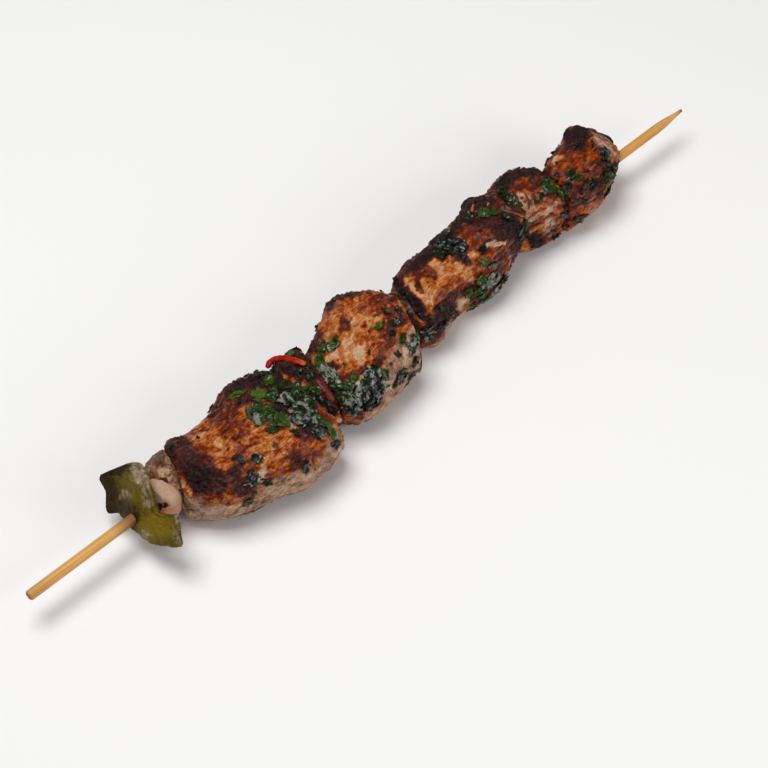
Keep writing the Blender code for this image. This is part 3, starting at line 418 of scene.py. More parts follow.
# Strips: width, thickness, how done they are from 0 to 1 and how much paler at their edges; a
# line of x, y and z through their middle; marks of how done they are, as on a lump.
STRIPS = {
    "chilli_strip": dict(
        width=1.9, thickness=1.2, done=0.1, pale_edges=0.0,
        line=[
            (-32.9, 10.9, 15.7), (-30.7, 11.2, 16.8), (-28.8, 8.6, 18.9), (-27.5, 4.5, 20.3),
            (-26.3, 1.8, 20.5),
        ],
        marks=[(-24, 5.8, 1.6, 1.6, 90)],
    ),
    "red_pepper_strip": dict(
        width=2.2, thickness=1.6, done=0.1, pale_edges=0.0,
        line=[(-27.6, -3.8, 20.4), (-28, -7.8, 19.8), (-27.9, -11, 17.4)],
        marks=[],
    ),
    "onion_curl": dict(
        width=2.4, thickness=1.6, done=0.62, pale_edges=0.1,
        line=[(48.4, 6.8, 23), (50, 9.6, 21.3), (53, 11, 20.1), (55.6, 10, 20.6)],
        marks=[(51.2, 11.2, 1.8, 1.8, 10), (53.4, 9.8, 1.8, 1.1, 12)],
    ),
    "onion_sliver": dict(
        width=3.0, thickness=1.8, done=0.78, pale_edges=0.5,
        line=[(51.6, 5, 21.8), (53.8, 1.6, 21.6), (55.6, -1.6, 20.6)],
        marks=[],
    ),
}


def smooth(low, high, value):
    t = np.clip((value - low) / (high - low), 0.0, 1.0)
    return t * t * (3 - 2 * t)


def mix(a, b, t):
    return a + (b - a) * t


def noise_at(points, size, seed):
    """Smooth noise, about -1 to 1, whose lumps are as wide as size."""
    at = np.asarray(points) / size + np.array([seed, 2.0 * seed, 3.0 * seed])
    return np.array([noise.noise(point) for point in at.tolist()])


def stretched(points, way, times):
    """The points squeezed along a direction, so that noise read there is drawn out along it."""
    way = np.asarray(way, float)
    way = way / np.linalg.norm(way)
    return points - np.outer(points @ way, way) * (1 - 1 / times)


def curve_through(x, knots, values):
    """The values at x of a smooth curve through the given values at the knots."""
    knots = np.asarray(knots, float)
    values = np.asarray(values, float)
    slopes = np.gradient(values, knots)
    left = np.clip(np.searchsorted(knots, x) - 1, 0, len(knots) - 2)
    width = knots[left + 1] - knots[left]
    t = np.clip((x - knots[left]) / width, 0.0, 1.0)
    return (
        (1 + 2 * t) * (1 - t) ** 2 * values[left]
        + t * (1 - t) ** 2 * width * slopes[left]
        + t**2 * (3 - 2 * t) * values[left + 1]
        - t**2 * (1 - t) * width * slopes[left + 1]
    )


def in_view(points):
    """Where points show in the photograph's view: along the stick, and across it."""
    facing = np.cross([1.0, 0.0, 0.0], ACROSS)
    share = ((AXIS - EYE) @ facing) / ((points - EYE) @ facing)
    shown = EYE + (points - EYE) * share[:, None] - AXIS
    return shown[:, 0], shown @ ACROSS


def sight_line(x, across):
    """The line from the eye through a place in its view: its start and its direction."""
    ray = AXIS + [x, 0.0, 0.0] + across * ACROSS - EYE
    return EYE, ray / np.linalg.norm(ray)


def cube_grid(cells):
    """The points and faces of a cube, with its cells spread evenly as seen from its middle."""
    cube = bmesh.new()
    bmesh.ops.create_cube(cube, size=2.0)
    bmesh.ops.subdivide_edges(cube, edges=cube.edges, cuts=cells - 1, use_grid_fill=True)
    points = np.array([vert.co for vert in cube.verts])
    faces = [[vert.index for vert in face.verts] for face in cube.faces]
    cube.free()
    return np.tan(points * math.pi / 4), faces


def seam_x(seam, points):
    """Where a seam is along the stick, at the y and z of each point."""
    x, with_y, with_z = SEAMS[seam]
    return x + with_y * points[:, 1] + with_z * (points[:, 2] - STICK_HEIGHT)


def rounded(distance):
    """The distance past a wall, kept above 0 by a soft corner."""
    return (distance + np.sqrt(distance**2 + SEAM_ROUNDING**2)) / 2


def keep_between(points, seams, margin):
    """Presses the points that pass a seam flat against it."""
    before, after = seams
    if before:
        wall = seam_x(before, points) + margin
        points[:, 0] = wall + rounded(points[:, 0] - wall)
    if after:
        wall = seam_x(after, points) - margin
        points[:, 0] = wall - rounded(wall - points[:, 0])


def lump_shape(lump, directions):
    """The smooth lump that the CAD solid has too, before its fine relief."""
    square = lump["square"]
    unit = directions / (np.abs(directions) ** square).sum(1)[:, None] ** (1 / square)
    x, front, back, low, high = np.array(lump["stations"], float).T
    half_x = (x[-1] - x[0]) / 2
    along = (x[0] + x[-1]) / 2 + half_x * unit[:, 0]
    edges = [curve_through(along, x, values) for values in (front, back, low, high)]
    half_y = (edges[1] - edges[0]) / 2
    half_z = (edges[3] - edges[2]) / 2
    points = np.column_stack(
        [along, edges[0] + half_y * (1 + unit[:, 1]), edges[2] + half_z * (1 + unit[:, 2])]
    )
    outward = np.sign(unit) * np.abs(unit) ** (square - 1)
    outward /= np.column_stack([np.full(len(unit), half_x), half_y, half_z])
    outward /= np.linalg.norm(outward, axis=1)[:, None]
    height = sum(high * noise_at(points, wide, lump["seed"]) for high, wide in LUMP_RELIEF)
    view_x, view_q = in_view(points)
    facing = np.clip(-(outward @ SIGHT) * 3, 0, 1)
    for dent_x, dent_q, wide_x, wide_q, deep in lump.get("dents", []):
        reach = ((view_x - dent_x) / wide_x) ** 2 + ((view_q - dent_q) / wide_q) ** 2
        height -= deep * facing * np.exp(-reach)
    points += outward * height[:, None]
    keep_between(points, lump["seams"], SEAM_MARGIN)
    return points


def add_piece(name, node, points, faces, material, values):
    """A smooth mesh in place of a CAD node, with named values at its points for its material."""
    mesh = bpy.data.meshes.new(name)
    world = (np.asarray(points) + [0.0, AXIS_Y, 0.0]) * MM
    mesh.from_pydata(world.tolist(), [], faces)
    for key, value in values.items():
        mesh.attributes.new(key, "FLOAT", "POINT").data.foreach_set("value", value)
    mesh.update()
    mesh.shade_smooth()
    mesh.materials.append(material)
    piece = bpy.data.objects.new(name, mesh)
    bpy.context.scene.collection.objects.link(piece)
    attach(piece, "root")
    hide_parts(node)


def normals_of(points, faces):
    """The smooth normal at each point of a mesh of four-cornered faces."""
    faces = np.array(faces)
    diagonals = points[faces[:, 2]] - points[faces[:, 0]], points[faces[:, 3]] - points[faces[:, 1]]
    flat = np.cross(*diagonals)
    normals = np.zeros_like(points)
    for corner in range(4):
        np.add.at(normals, faces[:, corner], flat)
    return normals / np.linalg.norm(normals, axis=1)[:, None]


def outward_faces(points, faces):
    """The faces, turned round if they look inwards."""
    faces = np.array(faces)
    a, b, c = (points[faces[:, k]] for k in range(3))
    volume = np.einsum("ij,ij->i", a - points.mean(0), np.cross(b - a, c - a)).sum()
    return (faces if volume > 0 else faces[:, ::-1]).tolist()


# Materials
class Nodes:
    """A material's node tree, with short ways to add what the materials here use."""

    def __init__(self, name):
        self.material = bpy.data.materials.new(name)
        self.material.use_nodes = True
        self.tree = self.material.node_tree
        self.shader = self.tree.nodes["Principled BSDF"]
        self.place = self.add("ShaderNodeTexCoord").outputs["Object"]

    def add(self, kind, **settings):
        node = self.tree.nodes.new(kind)
        for key, value in settings.items():
            setattr(node, key, value)
        return node

    def put(self, socket, value):
        if isinstance(value, bpy.types.NodeSocket):
            self.tree.links.new(value, socket)
        else:
            socket.default_value = value

    def value(self, name):
        return self.add("ShaderNodeAttribute", attribute_name=name).outputs["Fac"]

    def noise(self, size, detail=3.0, rough=0.6, stretch=None):
        """Noise, 0 to 1, whose lumps are about size millimetres wide, drawn out by stretch."""
        node = self.add("ShaderNodeTexNoise")
        place = self.place
        if stretch:
            mapped = self.add("ShaderNodeMapping")
            self.put(mapped.inputs["Vector"], place)
            mapped.inputs["Scale"].default_value = [1 / times for times in stretch]
            place = mapped.outputs["Vector"]
        self.put(node.inputs["Vector"], place)
        node.inputs["Scale"].default_value = 1 / (size * MM)
        node.inputs["Detail"].default_value = detail
        node.inputs["Roughness"].default_value = rough
        return node.outputs["Fac"]

    def math(self, operation, a, b, clamp=False):
        node = self.add("ShaderNodeMath", operation=operation, use_clamp=clamp)
        self.put(node.inputs[0], a)
        self.put(node.inputs[1], b)
        return node.outputs[0]

    def plus(self, total, *others, clamp=False):
        """The sum of the values, kept to 0 to 1 if clamp is set."""
        for other in others[:-1]:
            total = self.math("ADD", total, other)
        return self.math("ADD", total, others[-1], clamp)

    def times(self, a, b):
        return self.math("MULTIPLY", a, b)

    def swing(self, value, amount, middle=0.5):
        """How far the value is from the middle, so that 0 to 1 gives -amount to amount."""
        return self.times(self.math("SUBTRACT", value, middle), 2 * amount)

    def ramp(self, value, stops):
        """A colour ramp of (place, red, green, blue) stops."""
        node = self.add("ShaderNodeValToRGB")
        self.put(node.inputs["Fac"], value)
        elements = node.color_ramp.elements
        while len(elements) < len(stops):
            elements.new(0.5)
        for element, (place, *colour) in zip(elements, stops):
            element.position = place
            element.color = (*colour, 1.0)
        return node.outputs["Color"]

    def range(self, value, low, high, start, end):
        node = self.add("ShaderNodeMapRange")
        keys = ("Value", "From Min", "From Max", "To Min", "To Max")
        for key, given in zip(keys, (value, low, high, start, end)):
            self.put(node.inputs[key], given)
        return node.outputs["Result"]

    def blend(self, share, a, b):
        node = self.add("ShaderNodeMix", data_type="RGBA")
        self.put(node.inputs["Factor"], share)
        self.put(node.inputs["A"], a)
        self.put(node.inputs["B"], (*b, 1.0) if isinstance(b, tuple) else b)
        return node.outputs["Result"]

    def bump(self, height, distance, strength, normal=None):
        node = self.add("ShaderNodeBump")
        self.put(node.inputs["Height"], height)
        node.inputs["Distance"].default_value = distance * MM
        node.inputs["Strength"].default_value = strength
        if normal:
            self.put(node.inputs["Normal"], normal)
        return node.outputs["Normal"]

    def finish(self, colour, roughness, normal, coat=0.0, coat_roughness=0.1, soft=0.0, specular=0.2):
        for key, value in (
            ("Base Color", colour),
            ("Roughness", roughness),
            ("Normal", normal),
            ("Coat Weight", coat),
            ("Coat Roughness", coat_roughness),
            ("Coat Normal", normal),
            ("Subsurface Weight", soft),
            ("Subsurface Scale", SOFT_DEPTH * MM),
            ("Specular IOR Level", specular),
        ):
            self.put(self.shader.inputs[key], value)
        return self.material


def meat_material():
    """Grilled chicken: how done it is sets its colour, from pale to black, and its gloss."""
    n = Nodes("meat")
    done, flesh = n.value("done"), n.value("flesh")
    mottle = n.noise(1.3, 4.0, 0.65)
    wide_mottle = n.noise(4.5)
    grit = n.noise(0.42, 3.0, 0.65)
    streaks = n.noise(0.5, stretch=(5.0, 1.0, 1.4))
    swings = n.plus(
        n.swing(mottle, 0.42), n.swing(wide_mottle, 0.3), n.swing(grit, 0.40), n.swing(streaks, 0.42)
    )
    shade = n.plus(done, 0.01, n.times(swings, n.value("ragged")), clamp=True)
    seared = n.ramp(shade, [
        (0.0, 0.60, 0.40, 0.25), (0.12, 0.56, 0.28, 0.115), (0.25, 0.50, 0.168, 0.030),
        (0.38, 0.41, 0.090, 0.006), (0.50, 0.26, 0.036, 0.002), (0.62, 0.140, 0.019, 0.004),
        (0.74, 0.075, 0.015, 0.010), (0.86, 0.034, 0.0110, 0.0090), (1.0, 0.013, 0.0075, 0.0075),
    ])
    # On pale flesh the relief height makes hollows darker and ridges lighter: painted shade.
    pale = n.plus(
        n.swing(mottle, 0.28), n.swing(wide_mottle, 0.26), n.swing(grit, 0.16),
        n.times(n.value("height"), 0.14), n.times(n.math("SUBTRACT", 1.95, done), 0.3),
    )
    raw = n.ramp(pale, [
        (0.34, 0.075, 0.026, 0.012), (0.42, 0.19, 0.085, 0.042), (0.49, 0.33, 0.170, 0.095),
        (0.56, 0.47, 0.285, 0.175), (0.66, 0.64, 0.455, 0.315),
    ])
    # Painted glints: pale grey specks laid into the colour of char, in place of reflected light.
    painted_glints = n.range(n.noise(0.5, 3.0, 0.65), 0.57, 0.68, 0.0, 0.45)
    painted_glints = n.times(painted_glints, n.range(shade, 0.62, 0.85, 0.0, 1.0))
    colour = n.blend(flesh, n.blend(painted_glints, seared, (0.120, 0.070, 0.062)), raw)
    oil = n.noise(2.6)
    roughness = n.range(oil, 0.38, 0.62, 0.32, 0.62)
    oily = n.times(n.range(oil, 0.42, 0.54, 0.75, 0.0), n.range(shade, 0.6, 0.9, 1.0, 0.0))
    glints = n.times(n.range(grit, 0.55, 0.66, 0.0, 0.95), n.range(shade, 0.55, 0.85, 0.0, 1.0))
    rough = n.range(flesh, 0.0, 1.0, 1.0, 0.35)
    normal = n.bump(n.times(grit, rough), 0.28, 1.0)
    normal = n.bump(n.times(streaks, rough), 0.3, 0.7, normal)
    normal = n.bump(n.times(mottle, rough), 0.5, 0.8, normal)
    return n.finish(colour, roughness, normal, n.plus(oily, glints), 0.16, 0.03, 0.07)


def herb_material():
    """Wilted, wet chopped parsley, black-green to bright, with painted shade and painted sheen."""
    n = Nodes("herbs")
    tint, lift = n.value("tint"), n.value("lift")
    mottle = n.swing(n.noise(1.2, 4.0, 0.65), 0.3)
    # Painted shade: low places of a leaf, its folds and underside, are darker, raised places lighter.
    shade = n.plus(tint, mottle, n.swing(lift, 0.15, LIFT_MIDDLE), clamp=True)
    colour = n.ramp(shade, [
        (0.0, 0.005, 0.005, 0.003), (0.3, 0.010, 0.017, 0.003),
        (0.6, 0.024, 0.052, 0.003), (1.0, 0.060, 0.120, 0.005),
    ])
    wet = n.plus(n.noise(2.4, 2.0, 0.5), n.swing(lift, 0.125, LIFT_MIDDLE))
    wet = n.math("SUBTRACT", wet, n.times(tint, 0.12))
    # Painted sheen: grey patches laid into the colour of marked leaves as reflected light on wet leaves.
    painted_sheen = n.plus(n.noise(1.5, 2.0, 0.55, stretch=(1.0, 2.2, 1.6)), n.swing(lift, 0.15, LIFT_MIDDLE))
    painted_sheen = n.times(n.range(painted_sheen, 0.50, 0.61, 0.0, 0.85), n.value("painted_sheen"))
    colour = n.blend(painted_sheen, colour, (0.23, 0.245, 0.20))
    coat = n.range(wet, 0.44, 0.56, 0.0, 1.0)
    return n.finish(colour, 0.5, n.bump(n.noise(0.8), 0.14, 0.5), coat, 0.16, specular=0.12)


def pepper_material():
    """Blistered green pepper: skin tone from dark olive to yellow-green, and its pale flesh."""
    n = Nodes("green_pepper")
    blister = n.value("blister")
    mottle = n.noise(1.4, 4.0, 0.65)
    shade = n.plus(n.value("tone"), n.swing(mottle, 0.34), n.swing(n.noise(0.5), 0.16), clamp=True)
    skin = n.ramp(shade, [
        (0.0, 0.020, 0.009, 0.001), (0.25, 0.046, 0.030, 0.002), (0.5, 0.108, 0.074, 0.002),
        (0.75, 0.190, 0.122, 0.002), (1.0, 0.25, 0.170, 0.003),
    ])
    pale = n.ramp(mottle, [
        (0.33, 0.13, 0.085, 0.025), (0.48, 0.29, 0.205, 0.110),
        (0.60, 0.44, 0.345, 0.250), (0.75, 0.60, 0.500, 0.420),
    ])
    raised = n.plus(blister, n.times(n.swing(mottle, 0.8), blister), clamp=True)
    colour = n.blend(n.value("flesh"), n.blend(raised, skin, pale), (0.15, 0.10, 0.022))
    normal = n.bump(mottle, 0.5, 0.8, n.bump(n.noise(0.7), 0.26, 0.8))
    return n.finish(colour, 0.42, normal, 0.07, 0.2, 0.04, 0.08)


def onion_material(name, pale, dark, gloss):
    """Cooked onion, pale or browned, with fine lines."""
    n = Nodes(name)
    lines = n.noise(0.9, stretch=(1.0, 5.0, 2.0))
    mottle = n.noise(2.0, 4.0, 0.6)
    shade = n.plus(n.value("done"), n.swing(mottle, 0.18), clamp=True)
    shade = n.plus(shade, n.swing(lines, 0.08), clamp=True)
    between = mix(np.array(pale), np.array(dark), 0.45)
    colour = n.ramp(shade, [(0.0, *pale), (0.35, *between), (0.6, *dark), (0.85, 0.03, 0.010, 0.006)])
    normal = n.bump(mottle, 0.4, 0.4, n.bump(lines, 0.2, 0.5))
    return n.finish(colour, gloss, normal, 0.1, 0.18, 0.08, 0.1)


def skin_material(name, colour, dark):
    """Glossy red skin of chilli or pepper, with darker cooked patches and an orange end."""
    n = Nodes(name)
    bright = [1.4 * c for c in colour]
    tint = n.ramp(n.noise(1.5, 4.0, 0.6), [(0.35, *dark), (0.52, *colour), (0.8, *bright)])
    tint = n.blend(n.range(n.value("done"), 0.4, 0.8, 0.0, 1.0), tint, (0.46, 0.085, 0.006))
    normal = n.bump(n.noise(0.7, 3.0, 0.5), 0.2, 0.6)
    return n.finish(tint, 0.4, normal, 0.14, 0.15, 0.03, 0.1)


def bamboo_material():
    """Split bamboo: fine fibres along the stick, darker flecks, and a scorched point."""
    n = Nodes("bamboo")
    fibres = n.noise(0.35, 4.0, 0.7, stretch=(60.0, 1.0, 1.0))
    bands = n.noise(1.2, 2.0, 0.5, stretch=(30.0, 1.0, 1.0))
    colour = n.ramp(n.plus(n.times(fibres, 0.6), n.times(bands, 0.4)), [
        (0.30, 0.40, 0.160, 0.036), (0.45, 0.62, 0.300, 0.075),
        (0.58, 0.72, 0.390, 0.120), (0.72, 0.80, 0.500, 0.210),
    ])
    colour = n.blend(n.value("stain"), colour, (0.13, 0.032, 0.010))
    return n.finish(colour, 0.42, n.bump(fibres, 0.08, 0.5), 0.1, 0.25, 0.02)


MEAT = meat_material()
HERBS = herb_material()
PEPPER = pepper_material()
ONION = onion_material("onion", (0.47, 0.305, 0.205), (0.40, 0.15, 0.04), 0.5)
YELLOW_ONION = onion_material("yellow_onion", (0.36, 0.19, 0.055), (0.060, 0.020, 0.006), 0.4)
BROWN_ONION = onion_material("browned_onion", (0.42, 0.20, 0.11), (0.09, 0.022, 0.009), 0.28)
CHILLI = skin_material("red_chilli", (0.42, 0.009, 0.001), (0.26, 0.005, 0.001))
RED_PEPPER = skin_material("red_pepper", (0.12, 0.016, 0.010), (0.05, 0.008, 0.006))
BAMBOO = bamboo_material()


# Meat
def warped_view(points, seed):
    """The places in the photograph's view, nudged by noise so that marks get ragged edges."""
    view_x, view_q = in_view(points)
    for size, amount in ((3.4, 1.0), (1.3, 0.6), (0.7, 0.3)):
        view_x = view_x + amount * noise_at(points, size, seed + 7)
        view_q = view_q + amount * noise_at(points, size, seed + 17)
    return view_x, view_q


def oval(view, x, q, wide, high, turn=0):
    """1 inside an oval mark, falling to 0 past its rim."""
    c, s = math.cos(math.radians(turn)), math.sin(math.radians(turn))
    along = (view[0] - x) * c + (view[1] - q) * s
    over = (view[1] - q) * c - (view[0] - x) * s
    return smooth(1.4, 0.7, np.sqrt((along / wide) ** 2 + (over / high) ** 2))


def marked(value, view, marks):
    """The value with marks laid on it, one over the other."""
    for x, q, wide, high, percent, *turn in marks:
        value = mix(value, percent / 100, oval(view, x, q, wide, high, *turn))
    return value


def how_done(percent):
    """How done a place is, 0 to 1, and whether it is unseared flesh: 1 if so, else 0."""
    return (percent / 100, 0.0) if percent >= 0 else (1 + percent / 100, 1.0)


def doneness(lump, points, normals):
    """How done the meat is at each point, and how far it is pale flesh that saw no fire."""
    seed = lump["seed"]
    view = warped_view(points, seed)
    front = smooth(-0.05, 0.2, -(normals @ SIGHT))
    patches = noise_at(points, 8.0, seed + 29) + 0.5 * noise_at(points, 3.5, seed + 31)
    flat = smooth(0.25, 0.7, np.abs(normals[:, 2]) + 0.45 * patches)
    away = mix(0.34, 0.68, flat) + 0.34 * patches
    stained = smooth(0.1, 0.45, noise_at(points, 5.0, seed + 37))
    base, raw = how_done(lump["base"])
    done = mix(away, base + 0.12 * patches, front)
    flesh = mix((1 - flat) * (0.75 - 0.6 * stained), raw, front)
    for x, q, wide, high, percent, *turn in lump["marks"]:
        mask = oval(view, x, q, wide, high, *turn) * front
        target, raw = how_done(percent)
        flesh = mix(flesh, raw, mask)
        done = mix(done, target, mask)
    edge_x, edge_q = np.array(lump["edge"], float).T
    below = np.interp(view[0], edge_x, edge_q) - view[1]
    rim = np.exp(-(((below - 0.7) / 0.9) ** 2)) * front
    done = mix(done, 0.42, 0.7 * rim)
    pale = smooth(0.2, 1.8, below) * front
    done = mix(done, 0.3, pale)
    flesh = np.maximum(flesh, pale)
    return np.clip(done, 0, 1), np.clip(flesh, 0, 1)


def meat_relief(lump, points, done, flesh):
    """The height of the fibres, crumbs and cracks of the meat."""
    seed = lump["seed"]
    drawn = stretched(points, lump["grain"], lump["stretch"])
    fibres = noise_at(drawn, 1.0, seed + 3)
    strands = noise_at(drawn, 2.2, seed + 5)
    crumbs = 1 - 2 * np.abs(noise_at(points, 1.8, seed + 9))
    grit = noise_at(points, 0.9, seed + 13)
    crack_line = np.abs(noise_at(stretched(points, lump["grain"], 2.0), 5.5, seed + 19))
    cracks = smooth(0.08, 0.0, crack_line)
    charred = smooth(0.6, 0.95, done) * (1 - flesh)
    height = 0.28 * fibres * (1 - 0.5 * charred) + 0.3 * strands
    height += (0.22 + 0.58 * charred) * (crumbs - 0.4)
    height += (0.18 + 0.32 * charred) * grit
    height -= 0.22 * cracks
    return height * (1 - 0.45 * flesh)


def with_painted_hollow_shade(done, flesh, height):
    """Painted shade: darker in hollows than on ridges, though on char the ridges are the blackest."""
    charred = smooth(0.65, 0.9, done)
    deep = np.clip(-height, -0.5, 0.6)
    return np.clip(done + mix(0.55, -0.12, charred) * deep * (1 - flesh), 0, 1)


def make_lump(name, lump, material):
    """A piece of meat or onion over its CAD solid, with relief and doneness; returns its surface."""
    directions, faces = cube_grid(lump["cells"])
    points = lump_shape(lump, directions)
    faces = outward_faces(points, faces)
    normals = normals_of(points, faces)
    done, flesh = doneness(lump, points, normals)
    strength = 1.0 if name.startswith("chicken") else 0.35
    height = strength * meat_relief(lump, points, done, flesh)
    # done now also holds painted shade in the meat's hollows.
    done = with_painted_hollow_shade(done, flesh, height)
    points = np.clip(points + normals * height[:, None], BOX_LOW - MEAT_SLACK, BOX_HIGH + MEAT_SLACK)
    points[:, 2] = np.maximum(points[:, 2], 0.0)
    ragged = np.full(len(points), lump["ragged"])
    values = {"done": done, "flesh": flesh, "height": height, "ragged": ragged}
    add_piece(name + "_look", name, points, faces, material, values)
    return BVHTree.FromPolygons(points.tolist(), faces)


# Herbs
def lay_on(surface, over, normal):
    """The point of the surface under a point held over it, and the surface's normal there."""
    below, local, _, far = surface.ray_cast(over, -normal, MOST_FALL)
    if below is None or far < LEAST_FALL:
        below, local, _, _ = surface.find_nearest(over - normal * MIDDLING_FALL)
    return below, (local * 0.5 + normal * 0.5).normalized()


def leaflet(surface, line, length, width, turn, rings, sectors, draw):
    """A ragged, crumpled scrap of leaf on the surface, and how high each point of it stands."""
    hit, normal, _, _ = surface.ray_cast(Vector(line[0]), Vector(line[1]))
    if hit is None:
        return None
    turned = math.radians(turn)
    way = Vector((math.cos(turned), 0, 0)) + Vector(ACROSS) * math.sin(turned)
    side = normal.cross(way).normalized()
    way = side.cross(normal)
    lobes = draw.choice((1.5, 2.0, 2.5))
    phase, seed, curl = draw.uniform(0, 6.28), draw.uniform(0, 90), draw.uniform(0.1, 0.9)
    points, lifts = [], []
    for ring in range(rings + 1):
        share = ring / rings
        for sector in range(sectors if ring else 1):
            angle = 2 * math.pi * sector / sectors
            jag = noise.noise((2.6 * math.cos(angle), 2.6 * math.sin(angle), seed))
            reach = share * (0.75 + 0.25 * abs(math.cos(lobes * angle + phase)) ** 0.7 + 0.45 * jag)
            along, across = reach * length / 2 * math.cos(angle), reach * width / 2 * math.sin(angle)
            below, up = lay_on(surface, hit + way * along + side * across + normal * HELD_OVER, normal)
            flat = Vector((along, across, seed))
            lift = 0.18 + 0.9 * abs(noise.noise(flat / 2.0)) + 0.22 * abs(noise.noise(flat / 0.7))
            lift += curl * share**3 * max(0.0, jag + 0.2)
            points.append(below + up * lift)
            lifts.append(lift)
    # The underside stands low, so it takes the painted shade of low places.
    for sector in range(sectors):
        points.append(points[1 + (rings - 1) * sectors + sector] - normal * LEAF_THICKNESS)
        lifts.append(0.2)
    points.append(points[0] - normal * LEAF_THICKNESS)
    lifts.append(0.2)
    return np.array(points), np.array(lifts)


def leaflet_faces(rings, sectors):
    """The closed faces of a leaflet: rings round a middle, a thin rim and an underside."""
    faces = []
    under = 1 + rings * sectors
    for sector in range(sectors):
        after = (sector + 1) % sectors
        faces.append((0, 1 + sector, 1 + after))
        for ring in range(rings):
            a, b = 1 + ring * sectors + sector, 1 + ring * sectors + after
            faces.append((a, a + sectors, b + sectors, b))
        faces.append((under + after, under + sector, under + sectors))
    return faces


def make_herbs(name, lump, surface):
    """All the leaves and flecks that lie on one lump, as one piece."""
    draw = random.Random(lump["seed"] + 100)
    middle = np.mean([station[0] for station in lump["stations"]])
    reach = lump["stations"][-1][0] - middle
    leaves = []
    for x, q, length, width, turn, tint in lump["leaves"]:
        # wet: how much of the painted grey sheen a leaf gets.
        wet = float(tint < 0)
        tint = abs(tint) / 100
        leaves.append((sight_line(x, q), length, width, turn, tint, wet, LEAF_MESH))
        for _ in range(SCRAPS_BY_LEAF):
            near_x = x + draw.uniform(-0.3, 0.3) * max(length, width)
            near_q = q + draw.uniform(-0.3, 0.3) * max(length, width)
            size = draw.uniform(0.4, 0.7)
            scrap = (size * length, size * max(width, 0.5 * length), turn + draw.uniform(-60, 60))
            near_tint = tint + draw.uniform(-0.2, 0.2)
            leaves.append((sight_line(near_x, near_q), *scrap, near_tint, wet, SCRAP_MESH))
    for _ in range(BACK_LEAVES):
        start = np.array([middle + draw.uniform(-0.7, 0.7) * reach, 60.0, draw.uniform(6, 17)])
        size = draw.uniform(2.5, 6.0)
        line = (start, (0.0, -1.0, 0.0))
        turn, tint = draw.uniform(0, 180), draw.uniform(0, 0.7)
        # Leaves at the back get a little painted sheen.
        leaves.append((line, size, 0.6 * size, turn, tint, 0.3, LEAF_MESH))
    for _ in range(FLECKS):
        line = sight_line(middle + draw.uniform(-0.8, 0.8) * reach, draw.uniform(-12, 12))
        size = draw.uniform(0.8, 1.6)
        turn, tint = draw.uniform(0, 180), draw.uniform(0, 0.5)
        leaves.append((line, size, 0.7 * size, turn, tint, 0.0, SCRAP_MESH))
    points, faces, tints, lifts, painted_sheens = [], [], [], [], []
    count = 0
    for line, length, width, turn, tint, wet, cells in leaves:
        shape = leaflet(surface, line, length, width, turn, *cells, draw)
        if shape is None:
            continue
        leaf, lift = shape
        leaf = np.clip(leaf, BOX_LOW - HERB_SLACK, BOX_HIGH + HERB_SLACK)
        leaf[:, 2] = np.maximum(leaf[:, 2], 0.05)
        faces += [tuple(count + index for index in face) for face in leaflet_faces(*cells)]
        points.append(leaf)
        lifts.append(lift)
        tints.append(np.full(len(leaf), np.clip(tint, 0, 1)))
        painted_sheens.append(np.full(len(leaf), wet))
        count += len(leaf)
    values = {"tint": tints, "lift": lifts, "painted_sheen": painted_sheens}
    values = {key: np.concatenate(given) for key, given in values.items()}
    add_piece(name + "_herbs", name, np.concatenate(points), faces, HERBS, values)


# Strips, stick and pepper
def grid_faces(rows, columns):
    """The closed faces of two alike grids of points, one over the other, joined at their rims."""
    size = rows * columns
    faces = []
    for i in range(rows - 1):
        for j in range(columns - 1):
            a, b = i * columns + j, (i + 1) * columns + j
            faces.append((a, a + 1, b + 1, b))
            faces.append((size + a, size + b, size + b + 1, size + a + 1))
    rim = list(range(columns))
    rim += [i * columns + columns - 1 for i in range(1, rows)]
    rim += [(rows - 1) * columns + j for j in range(columns - 2, -1, -1)]
    rim += [i * columns for i in range(rows - 2, 0, -1)]
    for a, b in zip(rim, rim[1:] + rim[:1]):
        faces.append((a, b, size + b, size + a))
    return faces


def tube(line, radii, sides, squash=1.0):
    """A closed tube through the points of a line, with a radius for each point."""
    line = np.asarray(line, float)
    ways = np.gradient(line, axis=0)
    ways /= np.linalg.norm(ways, axis=1)[:, None]
    hint = np.array([0.0, 0.0, 1.0])
    points, faces = [], []
    for centre, way, radius in zip(line, ways, radii):
        thin = hint - way * (hint @ way)
        thin /= np.linalg.norm(thin)
        wide = np.cross(thin, way)
        for k in range(sides):
            angle = 2 * math.pi * k / sides
            points.append(centre + radius * (math.cos(angle) * wide + squash * math.sin(angle) * thin))
    for i in range(len(line) - 1):
        for k in range(sides):
            a, b = i * sides + k, i * sides + (k + 1) % sides
            faces.append((a, a + sides, b + sides, b))
    faces.append(tuple(range(sides)))
    faces.append(tuple((len(line) - 1) * sides + k for k in range(sides - 1, -1, -1)))
    return np.array(points), faces


def through(line, rings):
    """Points on a smooth curve through a few points."""
    line = np.array(line, float)
    knots = np.arange(len(line))
    at = np.linspace(0, len(line) - 1, rings)
    return np.column_stack([curve_through(at, knots, line[:, k]) for k in range(3)])


